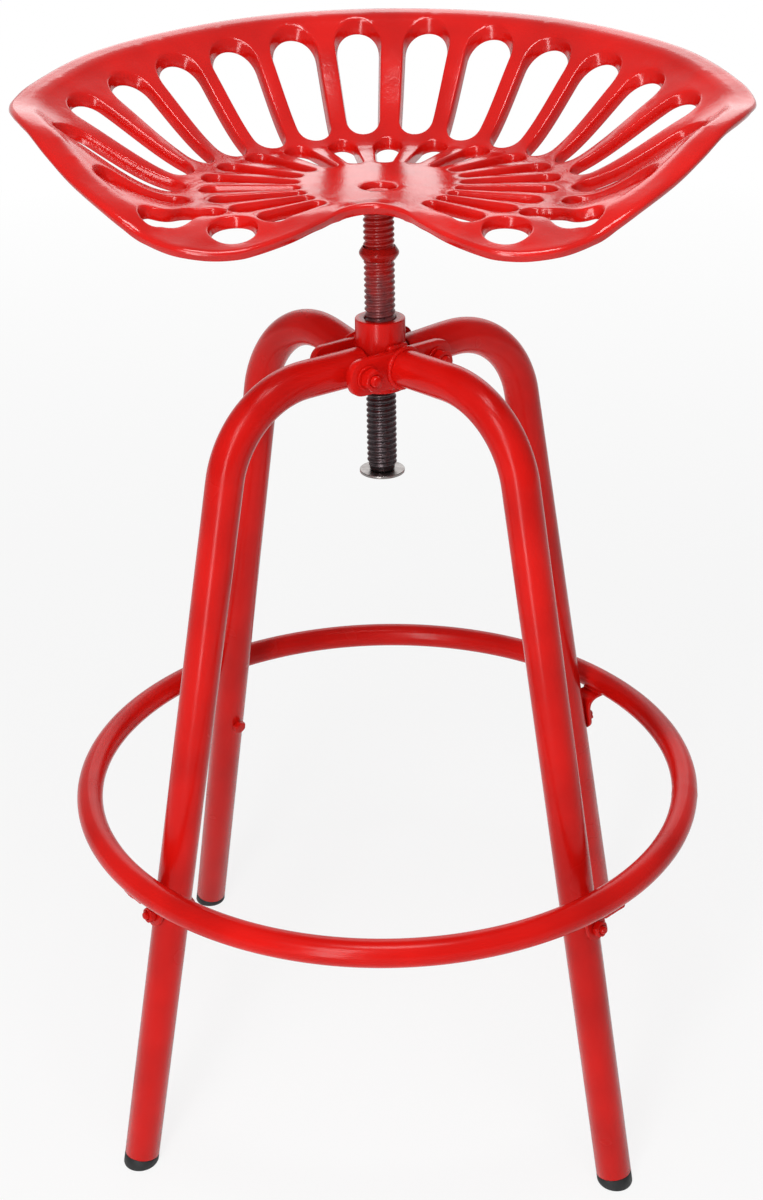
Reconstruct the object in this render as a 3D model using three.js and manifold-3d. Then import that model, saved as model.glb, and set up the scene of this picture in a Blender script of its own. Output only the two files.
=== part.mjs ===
// Tractor seat stool: a slotted cast pan on a jack screw, carried by four bent tube legs and a foot ring.
// Millimetres, +Z up, the front at -Y. The origin is on the floor, on the axis of the screw.
import * as THREE from 'three';
import { mergeVertices } from 'three/addons/utils/BufferGeometryUtils.js';
import Module from 'manifold-3d';

const wasm = await Module();
wasm.setup();

// Clearances and overruns
const seating_gap = 0.3;
const cut_overrun = 5;
const merge_tolerance = 0.0001;
const slope_step = 1;

// Legs: one bent tube each, a level run at the top and a leaning straight below
const leg_diameter = 25.4;
const leg_wall = 1.6;
const leg_run_height = 570;
const leg_foot_radius = 240;
const leg_corner_radius = 120.3;
const leg_bend_radius = 68;
const leg_angle_degrees = 43.1;
// How far the base stands turned under the seat at rest, clockwise from above where it is negative
const base_turn_degrees = -0.8;
const leg_sides = 16;
const leg_bend_steps = 6;

// Foot caps: black plugs in the open ends of the legs, cut level with the floor
const cap_height = 7.5;
const cap_stem_length = 18;
const cap_sides = 16;

// Hub tube and the two straps that hold it between them
const hub_diameter = 34;
const hub_below_run = 19;
const hub_above_run = 30;
const hub_bore_clearance = 0.8;
const hub_chamfer = 1;
const hub_sides = 32;
const strap_length = 87;
const strap_depth = 25;
const strap_thickness = 6;
const strap_corner_radius = 9;
const strap_arc_segments = 6;
const leg_hub_gap = 2;

// Through bolts of the two clamped legs
const hub_bolt_diameter = 8;
const hub_bolt_hole_clearance = 0.6;
const hub_bolt_reach = 30.5;
const hub_bolt_head_flats = 13;
const hub_bolt_head_height = 5.3;
const hub_bolt_tail = 3;
const hub_washer_diameter = 17;
const hub_washer_thickness = 1.6;
const hub_nut_height = 6.5;
const bush_diameter = 14;

// Foot ring and the bent tab that ties it to each leg
const ring_standoff = 34.47;
const ring_tube_diameter = 19;
const ring_height = 243.2;
const ring_sides = 12;
const ring_steps = 48;
const tab_width = 18;
const tab_thickness = 3;
const tab_drop = 18;
const tab_bend_radius = 12;
const tab_ring_overlap = 3;
const ring_bolt_drop = 35.7;
const ring_bolt_diameter = 6;
const ring_bolt_flats = 10;
const ring_bolt_head_height = 4;
const ring_nut_height = 5;
const ring_bolt_tail = 2.5;

// Jack screw and what is fixed on it
const screw_diameter = 20.8;
const screw_below_hub = 60;
const screw_neck_diameter = 17.5;
const screw_neck_length = 7;
const screw_chamfer = 1.2;
const screw_recess = 1.5;
const screw_sides = 26;
const collar_diameter = 26.7;
const collar_length = 8.5;
const collar_rim = 4;
const collar_below_pan = 48;
const seat_collar_diameter = 34;
const seat_collar_thickness = 5.6;
const seat_collar_chamfer = 1;
const disc_diameter = 31.5;
const disc_thickness = 2;
const end_screw_diameter = 6;
const end_screw_head_diameter = 12;
const end_screw_head_height = 4;
const end_screw_length = 14;
const end_hole_spare = 2;

// Seat: a cast pan of even thickness, dished up at the back and sides. Shares here are of its half width
const pan_above_run = 118;
const seat_thickness = 7.5;
const seat_half_width = 242.2;
const seat_underside_share = 0.987;
const rim_rise = 79;
const dish_start_angles_degrees = [0, 50, 78, 92, 108, 123];
const dish_start_shares = [0.4666, 0.5, 0.452, 0.541, 0.535, 0.482];
const dish_limit_share = 0.63;
const seat_stations = 72;
const seat_centre_hole_diameter = 22;
const seat_ring_shares = [0.3, 0.52, 0.63, 0.73, 0.83, 0.92, 1];

// Right half of the rim from the back round to the notch in front: across, back, and height over the
// pan as a share of the rim's rise
const rim_shares = [
  [0, 0.929, 1],
  [0.467, 0.809, 0.97],
  [0.84, 0.485, 0.854],
  [0.979, 0.209, 0.709],
  [0.998, 0.111, 0.658],
  [0.995, 0.05, 0.64],
  [0.958, -0.054, 0.627],
  [0.9, -0.149, 0.57],
  [0.838, -0.227, 0.437],
  [0.768, -0.297, 0.291],
  [0.675, -0.384, 0.146],
  [0.6255, -0.417, 0.063],
  [0.572, -0.438, -0.032],
  [0.52, -0.4666, -0.082],
  [0.471, -0.487, -0.108],
  [0.396, -0.491, -0.135],
  [0.33, -0.483, -0.133],
  [0.289, -0.469, -0.118],
  [0.186, -0.392, -0.063],
  [0.12, -0.3055, -0.025],
  [0.0805, -0.256, 0.006],
  [0, -0.223, 0.025],
];
const rim_samples = 720;

// Outer slots, from the back round to the front of one side. The last one sways
const outer_slot_angles_degrees = [7.6, 22, 36.2, 50.1, 64, 77.7, 90.8, 106.4, 123.4];
const outer_slot_inner_shares = [0.553, 0.547, 0.545, 0.543, 0.543, 0.534, 0.522, 0.512, 0.46];
const outer_slot_outer_shares = [0.846, 0.842, 0.842, 0.846, 0.855, 0.877, 0.86, 0.747, 0.687];
const outer_slot_inner_widths = [22.5, 23, 23, 22.5, 22, 22.5, 23, 21, 17];
const outer_slot_outer_widths = [32, 33, 33.5, 33, 32, 28, 31, 26, 17.5];
const wavy_slot_sway = 3.5;
const wavy_slot_steps = 8;

// Inner slots, from the middle of the back round to the front of one side
const inner_slot_pitch_degrees = 15.65;
const inner_slot_inner_shares = [0.289, 0.289, 0.277, 0.264, 0.248, 0.227, 0.211, 0.204, 0.204, 0.215];
const inner_slot_ring_share = 0.487;
const inner_slot_offset_share = 0.07;
const inner_slot_limit_share = 0.5285;
const inner_slot_inner_width = 9.5;
const inner_slot_outer_width = 18;
const slot_arc_segments = 3;

// Round holes in the two front lobes
const lobe_hole_diameter = 28.6;
const lobe_hole_across_share = 0.343;
const lobe_hole_forward_share = 0.378;
const lobe_hole_sides = 20;

const cap_radius = leg_diameter / 2;
const leg_radius = leg_diameter / 2;
const screw_radius = screw_diameter / 2;
const strap_offset = hub_diameter / 2 + seating_gap + strap_thickness / 2;
const strap_face = strap_offset + strap_thickness / 2;
const leg_spread = leg_foot_radius - leg_corner_radius;
const lean = Math.atan2(leg_spread, leg_run_height);
const leg_angle = THREE.MathUtils.degToRad(leg_angle_degrees);
const base_turn = THREE.MathUtils.degToRad(base_turn_degrees);
const strap_skew = Math.PI / 2 - 2 * leg_angle;
const hub_bottom_height = leg_run_height - hub_below_run;
const hub_top_height = leg_run_height + hub_above_run;
const pan_height = leg_run_height + pan_above_run;
const collar_height = pan_height - collar_below_pan;
const seat_underside = pan_height - seat_thickness;
const screw_bottom_height = hub_bottom_height - screw_below_hub;
const ring_bolt_height = ring_height - ring_bolt_drop;

function paint(colour, roughness, metalness) {
  return new THREE.MeshStandardMaterial({ color: colour, roughness, metalness });
}

const red_enamel = () => paint(0xc8211b, 0.3, 0);
const dark_steel = () => paint(0x2a1d1b, 0.45, 0.8);
const bright_zinc = () => paint(0xd9dcdc, 0.3, 1);
const black_rubber = () => paint(0x1b1a1a, 0.8, 0);

function signedVolume(position, index) {
  const a = new THREE.Vector3();
  const b = new THREE.Vector3();
  const c = new THREE.Vector3();
  let volume = 0;
  for (let i = 0; i < index.length; i += 3) {
    a.fromBufferAttribute(position, index[i]);
    b.fromBufferAttribute(position, index[i + 1]);
    c.fromBufferAttribute(position, index[i + 2]);
    volume += a.dot(b.cross(c));
  }
  return volume;
}

// A closed geometry as a solid, with its faces turned outward
function solid(geometry) {
  const bare = geometry.clone();
  bare.deleteAttribute('normal');
  bare.deleteAttribute('uv');
  const merged = mergeVertices(bare, merge_tolerance);
  const position = merged.getAttribute('position');
  const triangles = [];
  const index = merged.getIndex().array;
  for (let i = 0; i < index.length; i += 3) {
    const [p, q, r] = [index[i], index[i + 1], index[i + 2]];
    if (p !== q && q !== r && r !== p) triangles.push(p, q, r);
  }
  if (signedVolume(position, triangles) < 0) triangles.reverse();
  const vertProperties = new Float32Array(position.array);
  const triVerts = new Uint32Array(triangles);
  return new wasm.Manifold(new wasm.Mesh({ numProp: 3, vertProperties, triVerts }));
}

function geometryOf(manifold) {
  const mesh = manifold.getMesh();
  const geometry = new THREE.BufferGeometry();
  geometry.setAttribute('position', new THREE.BufferAttribute(mesh.vertProperties, 3));
  geometry.setIndex(new THREE.BufferAttribute(mesh.triVerts, 1));
  geometry.computeVertexNormals();
  return geometry;
}

function piece(name, manifold, material) {
  const mesh = new THREE.Mesh(geometryOf(manifold), material);
  mesh.name = name;
  return mesh;
}

// A rod of any number of sides between two points
function rod(radius, from, to, sides) {
  const span = new THREE.Vector3().subVectors(to, from);
  const geometry = new THREE.CylinderGeometry(radius, radius, span.length(), sides);
  const turn = new THREE.Quaternion().setFromUnitVectors(
    new THREE.Vector3(0, 1, 0),
    span.clone().normalize(),
  );
  geometry.applyQuaternion(turn);
  geometry.translate((from.x + to.x) / 2, (from.y + to.y) / 2, (from.z + to.z) / 2);
  return solid(geometry);
}

// A turned piece from a closed profile of radius and height, standing on the Z axis
function turned(profile, sides) {
  const points = profile.map(([radius, height]) => new THREE.Vector2(radius, height));
  const geometry = new THREE.LatheGeometry(points, sides);
  geometry.rotateX(Math.PI / 2);
  return solid(geometry);
}

function hexRadius(flats) {
  return flats / Math.sqrt(3);
}

// A level run, one bend and a leaning straight, with its stations only where the bend needs them
class BentPath extends THREE.Curve {
  constructor(start, corner, end, radius, bendSteps) {
    super();
    this.start = start;
    this.end = end;
    this.bendSteps = bendSteps;
    this.steps = bendSteps + 2;
    this.inward = new THREE.Vector3().subVectors(corner, start).normalize();
    this.outward = new THREE.Vector3().subVectors(end, corner).normalize();
    this.turn = this.inward.angleTo(this.outward);
    const reach = radius * Math.tan(this.turn / 2);
    this.bendStart = corner.clone().addScaledVector(this.inward, -reach);
    this.side = this.outward.clone().addScaledVector(this.inward, -this.outward.dot(this.inward));
    this.side.normalize();
    this.centre = this.bendStart.clone().addScaledVector(this.side, radius);
    this.radius = radius;
  }

  bendAngle(share) {
    const step = share * this.steps;
    return (this.turn * Math.min(Math.max(step - 1, 0), this.bendSteps)) / this.bendSteps;
  }

  getPoint(share, target = new THREE.Vector3()) {
    const step = share * this.steps;
    const angle = this.bendAngle(share);
    const bend = this.centre.clone();
    bend.addScaledVector(this.side, -this.radius * Math.cos(angle));
    bend.addScaledVector(this.inward, this.radius * Math.sin(angle));
    if (step < 1) return target.copy(this.start).lerp(bend, step);
    if (step > this.steps - 1) return target.copy(bend).lerp(this.end, step - this.steps + 1);
    return target.copy(bend);
  }

  getPointAt(share, target) {
    return this.getPoint(share, target);
  }

  getTangentAt(share, target = new THREE.Vector3()) {
    const angle = this.bendAngle(share);
    target.copy(this.inward).multiplyScalar(Math.cos(angle));
    return target.addScaledVector(this.side, Math.sin(angle));
  }
}

function tubeSection(radius, wall) {
  const shape = new THREE.Shape();
  shape.absarc(0, 0, radius, 0, 2 * Math.PI);
  if (wall > 0) {
    const bore = new THREE.Path();
    bore.absarc(0, 0, radius - wall, 0, 2 * Math.PI, true);
    shape.holes.push(bore);
  }
  return shape;
}

// Points in a leg's own plane: X outward from the screw, Z up
const leg_corner = new THREE.Vector3(leg_corner_radius, 0, leg_run_height);
const leg_foot = new THREE.Vector3(leg_foot_radius, 0, 0);
const leg_up = new THREE.Vector3().subVectors(leg_corner, leg_foot).normalize();
const leg_out = new THREE.Vector3(leg_up.z, 0, -leg_up.x);
const leg_end = leg_foot.clone().addScaledVector(leg_up, cap_height);

function legAxisAt(height) {
  return leg_foot.clone().addScaledVector(leg_up, height / leg_up.z);
}

const ring_radius = legAxisAt(ring_height).x + ring_standoff;

function legTube(runStart) {
  const start = new THREE.Vector3(runStart, 0, leg_run_height);
  const path = new BentPath(start, leg_corner, leg_end, leg_bend_radius, leg_bend_steps);
  const geometry = new THREE.ExtrudeGeometry(tubeSection(leg_radius, leg_wall), {
    curveSegments: leg_sides / 2,
    steps: path.steps,
    extrudePath: path,
  });
  const bolt = legAxisAt(ring_bolt_height);
  const reach = leg_radius + cut_overrun;
  const hole = rod(
    (ring_bolt_diameter + hub_bolt_hole_clearance) / 2,
    bolt.clone().addScaledVector(leg_out, -reach),
    bolt.clone().addScaledVector(leg_out, reach),
    cap_sides / 2,
  );
  return solid(geometry).subtract(hole);
}

// A leg gripped between the straps, crossed by the bush of its through bolt
function clampedLeg() {
  const reach = leg_radius + cut_overrun;
  const hole = rod(
    bush_diameter / 2 + seating_gap,
    new THREE.Vector3(hub_bolt_reach, -reach, leg_run_height),
    new THREE.Vector3(hub_bolt_reach, reach, leg_run_height),
    leg_sides,
  );
  return legTube(hub_diameter / 2 + leg_hub_gap).subtract(hole);
}

// A leg whose end is cut to lie on the outer face of a strap
function weldedLeg() {
  const depth = 2 * leg_radius;
  const geometry = new THREE.BoxGeometry(depth, 2 * depth, 2 * depth);
  geometry.translate(strap_face + seating_gap - depth / 2, 0, leg_run_height);
  geometry.rotateZ(-strap_skew);
  return legTube(strap_face - leg_radius / 2).subtract(solid(geometry));
}

function footCap() {
  const stem = leg_radius - leg_wall - seating_gap;
  const head = leg_foot.clone().addScaledVector(leg_up, -leg_radius);
  const seat = leg_end.clone().addScaledVector(leg_up, -seating_gap);
  const top = leg_end.clone().addScaledVector(leg_up, cap_stem_length);
  const below = new THREE.BoxGeometry(4 * leg_radius, 4 * leg_radius, 2 * leg_radius);
  below.translate(leg_foot_radius, 0, -leg_radius);
  return rod(cap_radius, head, seat, cap_sides)
    .add(rod(stem, head, top, cap_sides))
    .subtract(solid(below));
}

function hubTube() {
  const outer = hub_diameter / 2;
  const bore = (screw_diameter + hub_bore_clearance) / 2;
  return turned(
    [
      [bore + hub_chamfer, hub_bottom_height],
      [outer, hub_bottom_height],
      [outer, hub_top_height],
      [bore + hub_chamfer, hub_top_height],
      [bore, hub_top_height - hub_chamfer],
      [bore, hub_bottom_height + hub_chamfer],
      [bore + hub_chamfer, hub_bottom_height],
    ],
    hub_sides,
  );
}

// A strap with rounded ends on one side of the hub, +1 behind it and -1 in front
function strap(side) {
  const half = strap_length / 2;
  const low = -strap_depth / 2;
  const shape = new THREE.Shape();
  shape.moveTo(-half + strap_corner_radius, low);
  shape.lineTo(half - strap_corner_radius, low);
  shape.absarc(half - strap_corner_radius, low + strap_corner_radius, strap_corner_radius, -Math.PI / 2, 0);
  shape.lineTo(half, -low - strap_corner_radius);
  shape.absarc(half - strap_corner_radius, -low - strap_corner_radius, strap_corner_radius, 0, Math.PI / 2);
  shape.lineTo(-half + strap_corner_radius, -low);
  shape.absarc(
    -half + strap_corner_radius, -low - strap_corner_radius, strap_corner_radius, Math.PI / 2, Math.PI,
  );
  shape.lineTo(-half, low + strap_corner_radius);
  shape.absarc(
    -half + strap_corner_radius, low + strap_corner_radius, strap_corner_radius, Math.PI, 1.5 * Math.PI,
  );
  for (const end of [-1, 1]) {
    const hole = new THREE.Path();
    hole.absarc(end * hub_bolt_reach, 0, (hub_bolt_diameter + hub_bolt_hole_clearance) / 2, 0, 2 * Math.PI, true);
    shape.holes.push(hole);
  }
  const geometry = new THREE.ExtrudeGeometry(shape, {
    depth: strap_thickness,
    bevelEnabled: false,
    curveSegments: strap_arc_segments,
    steps: 1,
  });
  geometry.translate(0, 0, -strap_thickness / 2);
  geometry.rotateX(Math.PI / 2);
  geometry.translate(0, side * strap_offset, leg_run_height);
  return solid(geometry);
}

// The pieces of one through bolt, on the side of the straps that end points to
function acrossStraps(end, from, to, radius, sides) {
  return rod(
    radius,
    new THREE.Vector3(end * hub_bolt_reach, from, leg_run_height),
    new THREE.Vector3(end * hub_bolt_reach, to, leg_run_height),
    sides,
  );
}

function legBush(end) {
  const half = strap_face - strap_thickness - seating_gap;
  const bore = (hub_bolt_diameter + hub_bolt_hole_clearance) / 2;
  const body = acrossStraps(end, -half, half, bush_diameter / 2, leg_sides);
  return body.subtract(acrossStraps(end, -half - cut_overrun, half + cut_overrun, bore, leg_sides));
}

const washer_face = -strap_face - seating_gap;
const nut_face = washer_face - hub_washer_thickness - seating_gap;

function hubBolt(end) {
  const head_face = strap_face + seating_gap;
  const tail = nut_face - hub_nut_height - hub_bolt_tail;
  const shank = acrossStraps(end, tail, head_face + hub_bolt_head_height / 2, hub_bolt_diameter / 2, leg_sides);
  const head = acrossStraps(
    end, head_face, head_face + hub_bolt_head_height, hexRadius(hub_bolt_head_flats), 6,
  );
  return shank.add(head);
}

function hubWasher(end) {
  const back = washer_face - hub_washer_thickness;
  const bore = hub_bolt_diameter / 2 + seating_gap;
  const body = acrossStraps(end, back, washer_face, hub_washer_diameter / 2, hub_sides / 2);
  return body.subtract(acrossStraps(end, back - cut_overrun, washer_face + cut_overrun, bore, leg_sides));
}

function hubNut(end) {
  const back = nut_face - hub_nut_height;
  const bore = hub_bolt_diameter / 2 + seating_gap;
  const body = acrossStraps(end, back, nut_face, hexRadius(hub_bolt_head_flats), 6);
  return body.subtract(acrossStraps(end, back - cut_overrun, nut_face + cut_overrun, bore, leg_sides));
}

function footRing() {
  const geometry = new THREE.TorusGeometry(ring_radius, ring_tube_diameter / 2, ring_sides, ring_steps);
  geometry.translate(0, 0, ring_height);
  return solid(geometry);
}

// Places on the bolt of a ring tab: distance outward from the leg's axis
const tab_inner_face = leg_radius + seating_gap;
const tab_outer_face = tab_inner_face + tab_thickness;
const ring_nut_face = tab_outer_face + seating_gap;

function alongRingBolt(from, to, radius, sides) {
  const axis = legAxisAt(ring_bolt_height);
  const start = axis.clone().addScaledVector(leg_out, from);
  const stop = axis.clone().addScaledVector(leg_out, to);
  return rod(radius, start, stop, sides);
}

// A strip under the ring that bends down flat along the leg, with a round lower end
function ringTab() {
  const shelf_top = ring_height - ring_tube_diameter / 2 - seating_gap;
  const shelf_bottom = shelf_top - tab_thickness;
  const tip = ring_radius + tab_ring_overlap;
  const offsetAt = (distance, height) =>
    legAxisAt(height).x + distance / leg_up.z;
  const drop_bottom = ring_bolt_height - tab_drop / 2;
  const outer_top = offsetAt(tab_inner_face, shelf_top);
  const inner_top = offsetAt(tab_outer_face, shelf_bottom);
  const bend = tab_bend_radius + tab_thickness;
  const slant = Math.tan(lean);
  const shape = new THREE.Shape();
  shape.moveTo(tip, shelf_top);
  shape.lineTo(outer_top + bend, shelf_top);
  shape.quadraticCurveTo(outer_top, shelf_top, outer_top + bend * slant, shelf_top - bend);
  shape.lineTo(offsetAt(tab_inner_face, drop_bottom), drop_bottom);
  shape.lineTo(offsetAt(tab_outer_face, drop_bottom), drop_bottom);
  shape.lineTo(inner_top + tab_bend_radius * slant, shelf_bottom - tab_bend_radius);
  shape.quadraticCurveTo(inner_top, shelf_bottom, inner_top + tab_bend_radius, shelf_bottom);
  shape.lineTo(tip, shelf_bottom);
  const geometry = new THREE.ExtrudeGeometry(shape, {
    depth: tab_width,
    bevelEnabled: false,
    curveSegments: 5,
    steps: 1,
  });
  geometry.translate(0, 0, -tab_width / 2);
  geometry.rotateX(Math.PI / 2);
  const keep_round = alongRingBolt(0, 2 * tab_outer_face, tab_width / 2, cap_sides);
  const keep_top = new THREE.BoxGeometry(4 * tab_outer_face, tab_width, 2 * tab_width);
  keep_top.translate(0, 0, tab_width);
  keep_top.rotateY(-lean);
  const bolt = legAxisAt(ring_bolt_height);
  keep_top.translate(bolt.x, bolt.y, bolt.z);
  const hole = alongRingBolt(0, 2 * tab_outer_face, ring_bolt_diameter / 2 + seating_gap, cap_sides);
  return solid(geometry).intersect(keep_round.add(solid(keep_top))).subtract(hole);
}

function ringBolt() {
  const head_face = -leg_radius - seating_gap;
  const tail = ring_nut_face + ring_nut_height + ring_bolt_tail;
  const head_back = head_face - ring_bolt_head_height;
  const shank = alongRingBolt(head_face - ring_bolt_head_height / 2, tail, ring_bolt_diameter / 2, cap_sides);
  return shank.add(alongRingBolt(head_back, head_face, hexRadius(ring_bolt_flats), 6));
}

function ringNut() {
  const back = ring_nut_face + ring_nut_height;
  const bore = ring_bolt_diameter / 2 + seating_gap;
  const body = alongRingBolt(ring_nut_face, back, hexRadius(ring_bolt_flats), 6);
  return body.subtract(alongRingBolt(ring_nut_face - cut_overrun, back + cut_overrun, bore, cap_sides));
}

function jackScrew() {
  const neck = screw_neck_diameter / 2;
  const thread_bottom = screw_bottom_height + screw_neck_length;
  const top = pan_height - screw_recess;
  const hole = end_screw_diameter / 2 + seating_gap;
  const hole_top = screw_bottom_height + end_screw_length + end_hole_spare;
  return turned(
    [
      [0, hole_top],
      [hole, hole_top],
      [hole, screw_bottom_height],
      [neck, screw_bottom_height],
      [neck, thread_bottom],
      [screw_radius, thread_bottom + screw_chamfer],
      [screw_radius, top - screw_chamfer],
      [screw_radius - screw_chamfer, top],
      [0, top],
    ],
    screw_sides,
  );
}

function stopCollar() {
  const bore = screw_radius + seating_gap;
  const outer = collar_diameter / 2;
  const middle = collar_height + collar_length / 2;
  return turned(
    [
      [bore, collar_height],
      [bore + seating_gap, collar_height],
      [outer, middle - collar_rim / 2],
      [outer, middle + collar_rim / 2],
      [bore + seating_gap, collar_height + collar_length],
      [bore, collar_height + collar_length],
      [bore, collar_height],
    ],
    screw_sides,
  );
}

function seatCollar() {
  const bore = screw_radius + seating_gap;
  const outer = seat_collar_diameter / 2;
  const top = seat_underside - seating_gap;
  const bottom = top - seat_collar_thickness;
  return turned(
    [
      [bore, bottom],
      [outer - seat_collar_chamfer, bottom],
      [outer, bottom + seat_collar_chamfer],
      [outer, top],
      [bore, top],
      [bore, bottom],
    ],
    screw_sides,
  );
}

const disc_top = screw_bottom_height - seating_gap;
const disc_bottom = disc_top - disc_thickness;

function endDisc() {
  const bore = end_screw_diameter / 2 + seating_gap;
  return turned(
    [
      [bore, disc_bottom],
      [disc_diameter / 2, disc_bottom],
      [disc_diameter / 2, disc_top],
      [bore, disc_top],
      [bore, disc_bottom],
    ],
    hub_sides,
  );
}

function endScrew() {
  const head_top = disc_bottom - seating_gap;
  const head_bottom = head_top - end_screw_head_height;
  const shank = end_screw_diameter / 2;
  const head = end_screw_head_diameter / 2;
  return turned(
    [
      [0, head_bottom],
      [head / 2, head_bottom],
      [head, head_bottom + end_screw_head_height / 2],
      [head, head_top],
      [shank, head_top],
      [shank, screw_bottom_height + end_screw_length],
      [0, screw_bottom_height + end_screw_length],
    ],
    hub_sides / 2,
  );
}

// The closed rim curve, back to front on the right and back again on the left
function rimCurve() {
  const place = ([across, back, rise], side) =>
    new THREE.Vector3(side * across * seat_half_width, back * seat_half_width, rise * rim_rise);
  const right = rim_shares.map((row) => place(row, 1));
  const left = rim_shares.slice(1, -1).map((row) => place(row, -1));
  return new THREE.CatmullRomCurve3([...right, ...left.reverse()], true);
}

const rim_curve = rimCurve();
const rim_table = rim_curve
  .getPoints(rim_samples)
  .slice(0, rim_samples / 2 + 1)
  .map((point) => ({
    angle: Math.atan2(Math.max(point.x, 0), point.y),
    radius: Math.hypot(point.x, point.y),
    rise: point.z,
  }));

// Radius and rise of the rim in a direction measured from the back
function rimAt(angle) {
  let low = 0;
  let high = rim_table.length - 1;
  while (high - low > 1) {
    const middle = Math.floor((low + high) / 2);
    if (rim_table[middle].angle <= angle) low = middle;
    else high = middle;
  }
  const [before, after] = [rim_table[low], rim_table[high]];
  const share = THREE.MathUtils.clamp((angle - before.angle) / (after.angle - before.angle), 0, 1);
  return {
    radius: THREE.MathUtils.lerp(before.radius, after.radius, share),
    rise: THREE.MathUtils.lerp(before.rise, after.rise, share),
  };
}

// Reach of the flat pan in a direction measured from the back, as a share, eased from one row to the next
function dishStartShare(angle) {
  const degrees = THREE.MathUtils.radToDeg(angle);
  const passed = dish_start_angles_degrees.slice(1, -1).filter((row) => row <= degrees).length;
  const row = passed + 1;
  const eased = THREE.MathUtils.smoothstep(
    degrees,
    dish_start_angles_degrees[row - 1],
    dish_start_angles_degrees[row],
  );
  return THREE.MathUtils.lerp(dish_start_shares[row - 1], dish_start_shares[row], eased);
}

// Height of the seat's top face over a point of the plan
function seatTop(x, y) {
  const angle = Math.atan2(Math.abs(x), y);
  const rim = rimAt(angle);
  const start = Math.min(dishStartShare(angle) * seat_half_width, dish_limit_share * rim.radius);
  const share = THREE.MathUtils.smoothstep(Math.hypot(x, y), start, rim.radius);
  return pan_height + rim.rise * share;
}

// Depth of the casting straight down, so that it is evenly thick along its slope
function seatDepth(x, y) {
  const along = (seatTop(x + slope_step, y) - seatTop(x - slope_step, y)) / (2 * slope_step);
  const across = (seatTop(x, y + slope_step) - seatTop(x, y - slope_step)) / (2 * slope_step);
  return seat_thickness * Math.sqrt(1 + along * along + across * across);
}

// The pan without its slots: a turned slab whose rings are drawn out to the rim curve
function seatSlab() {
  const below = seat_ring_shares.map((share) => ({ share, top: false }));
  const above = seat_ring_shares.map((share) => ({ share, top: true })).reverse();
  const profile = [{ share: 0, top: false }, ...below, ...above, { share: 0, top: true }];
  const points = profile.map(({ share, top }) => new THREE.Vector2(share, top ? 1 : 0));
  const geometry = new THREE.LatheGeometry(points, seat_stations);
  const position = geometry.getAttribute('position');
  for (let station = 0; station <= seat_stations; station += 1) {
    const rim = rim_curve.getPointAt((station % seat_stations) / seat_stations);
    profile.forEach(({ share, top }, row) => {
      const reach = top ? share : share * seat_underside_share;
      const x = rim.x * reach;
      const y = rim.y * reach;
      const height = seatTop(x, y) - (top ? 0 : seatDepth(x, y));
      position.setXYZ(station * profile.length + row, x, y, height);
    });
  }
  return solid(geometry);
}

// A slot with round ends that widens outward, as points along its own centre line
function slotOutline(inner, outer, innerWidth, outerWidth) {
  const near = innerWidth / 2;
  const far = outerWidth / 2;
  const start = inner + near;
  const stop = outer - far;
  const flare = Math.asin((far - near) / (stop - start));
  const shape = new THREE.Shape();
  shape.absarc(start, 0, near, Math.PI / 2 + flare, 1.5 * Math.PI - flare);
  shape.absarc(stop, 0, far, -Math.PI / 2 - flare, Math.PI / 2 + flare);
  return shape;
}

// The front slot sways from side to side along its length
function wavyOutline(inner, outer, innerWidth, outerWidth) {
  const near = innerWidth / 2;
  const far = outerWidth / 2;
  const start = inner + near;
  const stop = outer - far;
  const sway = (share) => wavy_slot_sway * Math.sin(2 * Math.PI * share);
  const shape = new THREE.Shape();
  shape.absarc(start, 0, near, Math.PI / 2, 1.5 * Math.PI);
  for (let step = 1; step < wavy_slot_steps; step += 1) {
    const share = step / wavy_slot_steps;
    const half = THREE.MathUtils.lerp(near, far, share);
    shape.lineTo(THREE.MathUtils.lerp(start, stop, share), sway(share) - half);
  }
  shape.absarc(stop, 0, far, -Math.PI / 2, Math.PI / 2);
  for (let step = wavy_slot_steps - 1; step > 0; step -= 1) {
    const share = step / wavy_slot_steps;
    const half = THREE.MathUtils.lerp(near, far, share);
    shape.lineTo(THREE.MathUtils.lerp(start, stop, share), sway(share) + half);
  }
  return shape;
}

const cut_bottom = pan_height - rim_rise;
const cut_top = pan_height + 2 * rim_rise;

// A slot's prism turned to its direction, measured from the back toward the right for side +1
function slotCutter(shape, angle, side) {
  const geometry = new THREE.ExtrudeGeometry(shape, {
    depth: cut_top - cut_bottom,
    bevelEnabled: false,
    curveSegments: slot_arc_segments,
    steps: 1,
  });
  geometry.translate(0, 0, cut_bottom);
  geometry.rotateZ(Math.PI / 2 - angle);
  if (side < 0) geometry.scale(-1, 1, 1);
  return solid(geometry);
}

function outerSlots() {
  const last = outer_slot_angles_degrees.length - 1;
  return outer_slot_angles_degrees.map((degrees, slot) => {
    const sizes = [
      outer_slot_inner_shares[slot] * seat_half_width,
      outer_slot_outer_shares[slot] * seat_half_width,
      outer_slot_inner_widths[slot],
      outer_slot_outer_widths[slot],
    ];
    const shape = slot === last ? wavyOutline(...sizes) : slotOutline(...sizes);
    return { shape, angle: THREE.MathUtils.degToRad(degrees) };
  });
}

// Outer ends of the inner slots lie on a circle set a little behind the screw, and stop short at the back
function innerSlotShare(angle) {
  const across = inner_slot_offset_share * Math.sin(angle);
  const round = Math.sqrt(inner_slot_ring_share ** 2 - across ** 2);
  return Math.min(inner_slot_offset_share * Math.cos(angle) + round, inner_slot_limit_share);
}

function innerSlots() {
  return inner_slot_inner_shares.map((inner, slot) => {
    const angle = THREE.MathUtils.degToRad(slot * inner_slot_pitch_degrees);
    const shape = slotOutline(
      inner * seat_half_width,
      innerSlotShare(angle) * seat_half_width,
      inner_slot_inner_width,
      inner_slot_outer_width,
    );
    return { shape, angle };
  });
}

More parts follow.
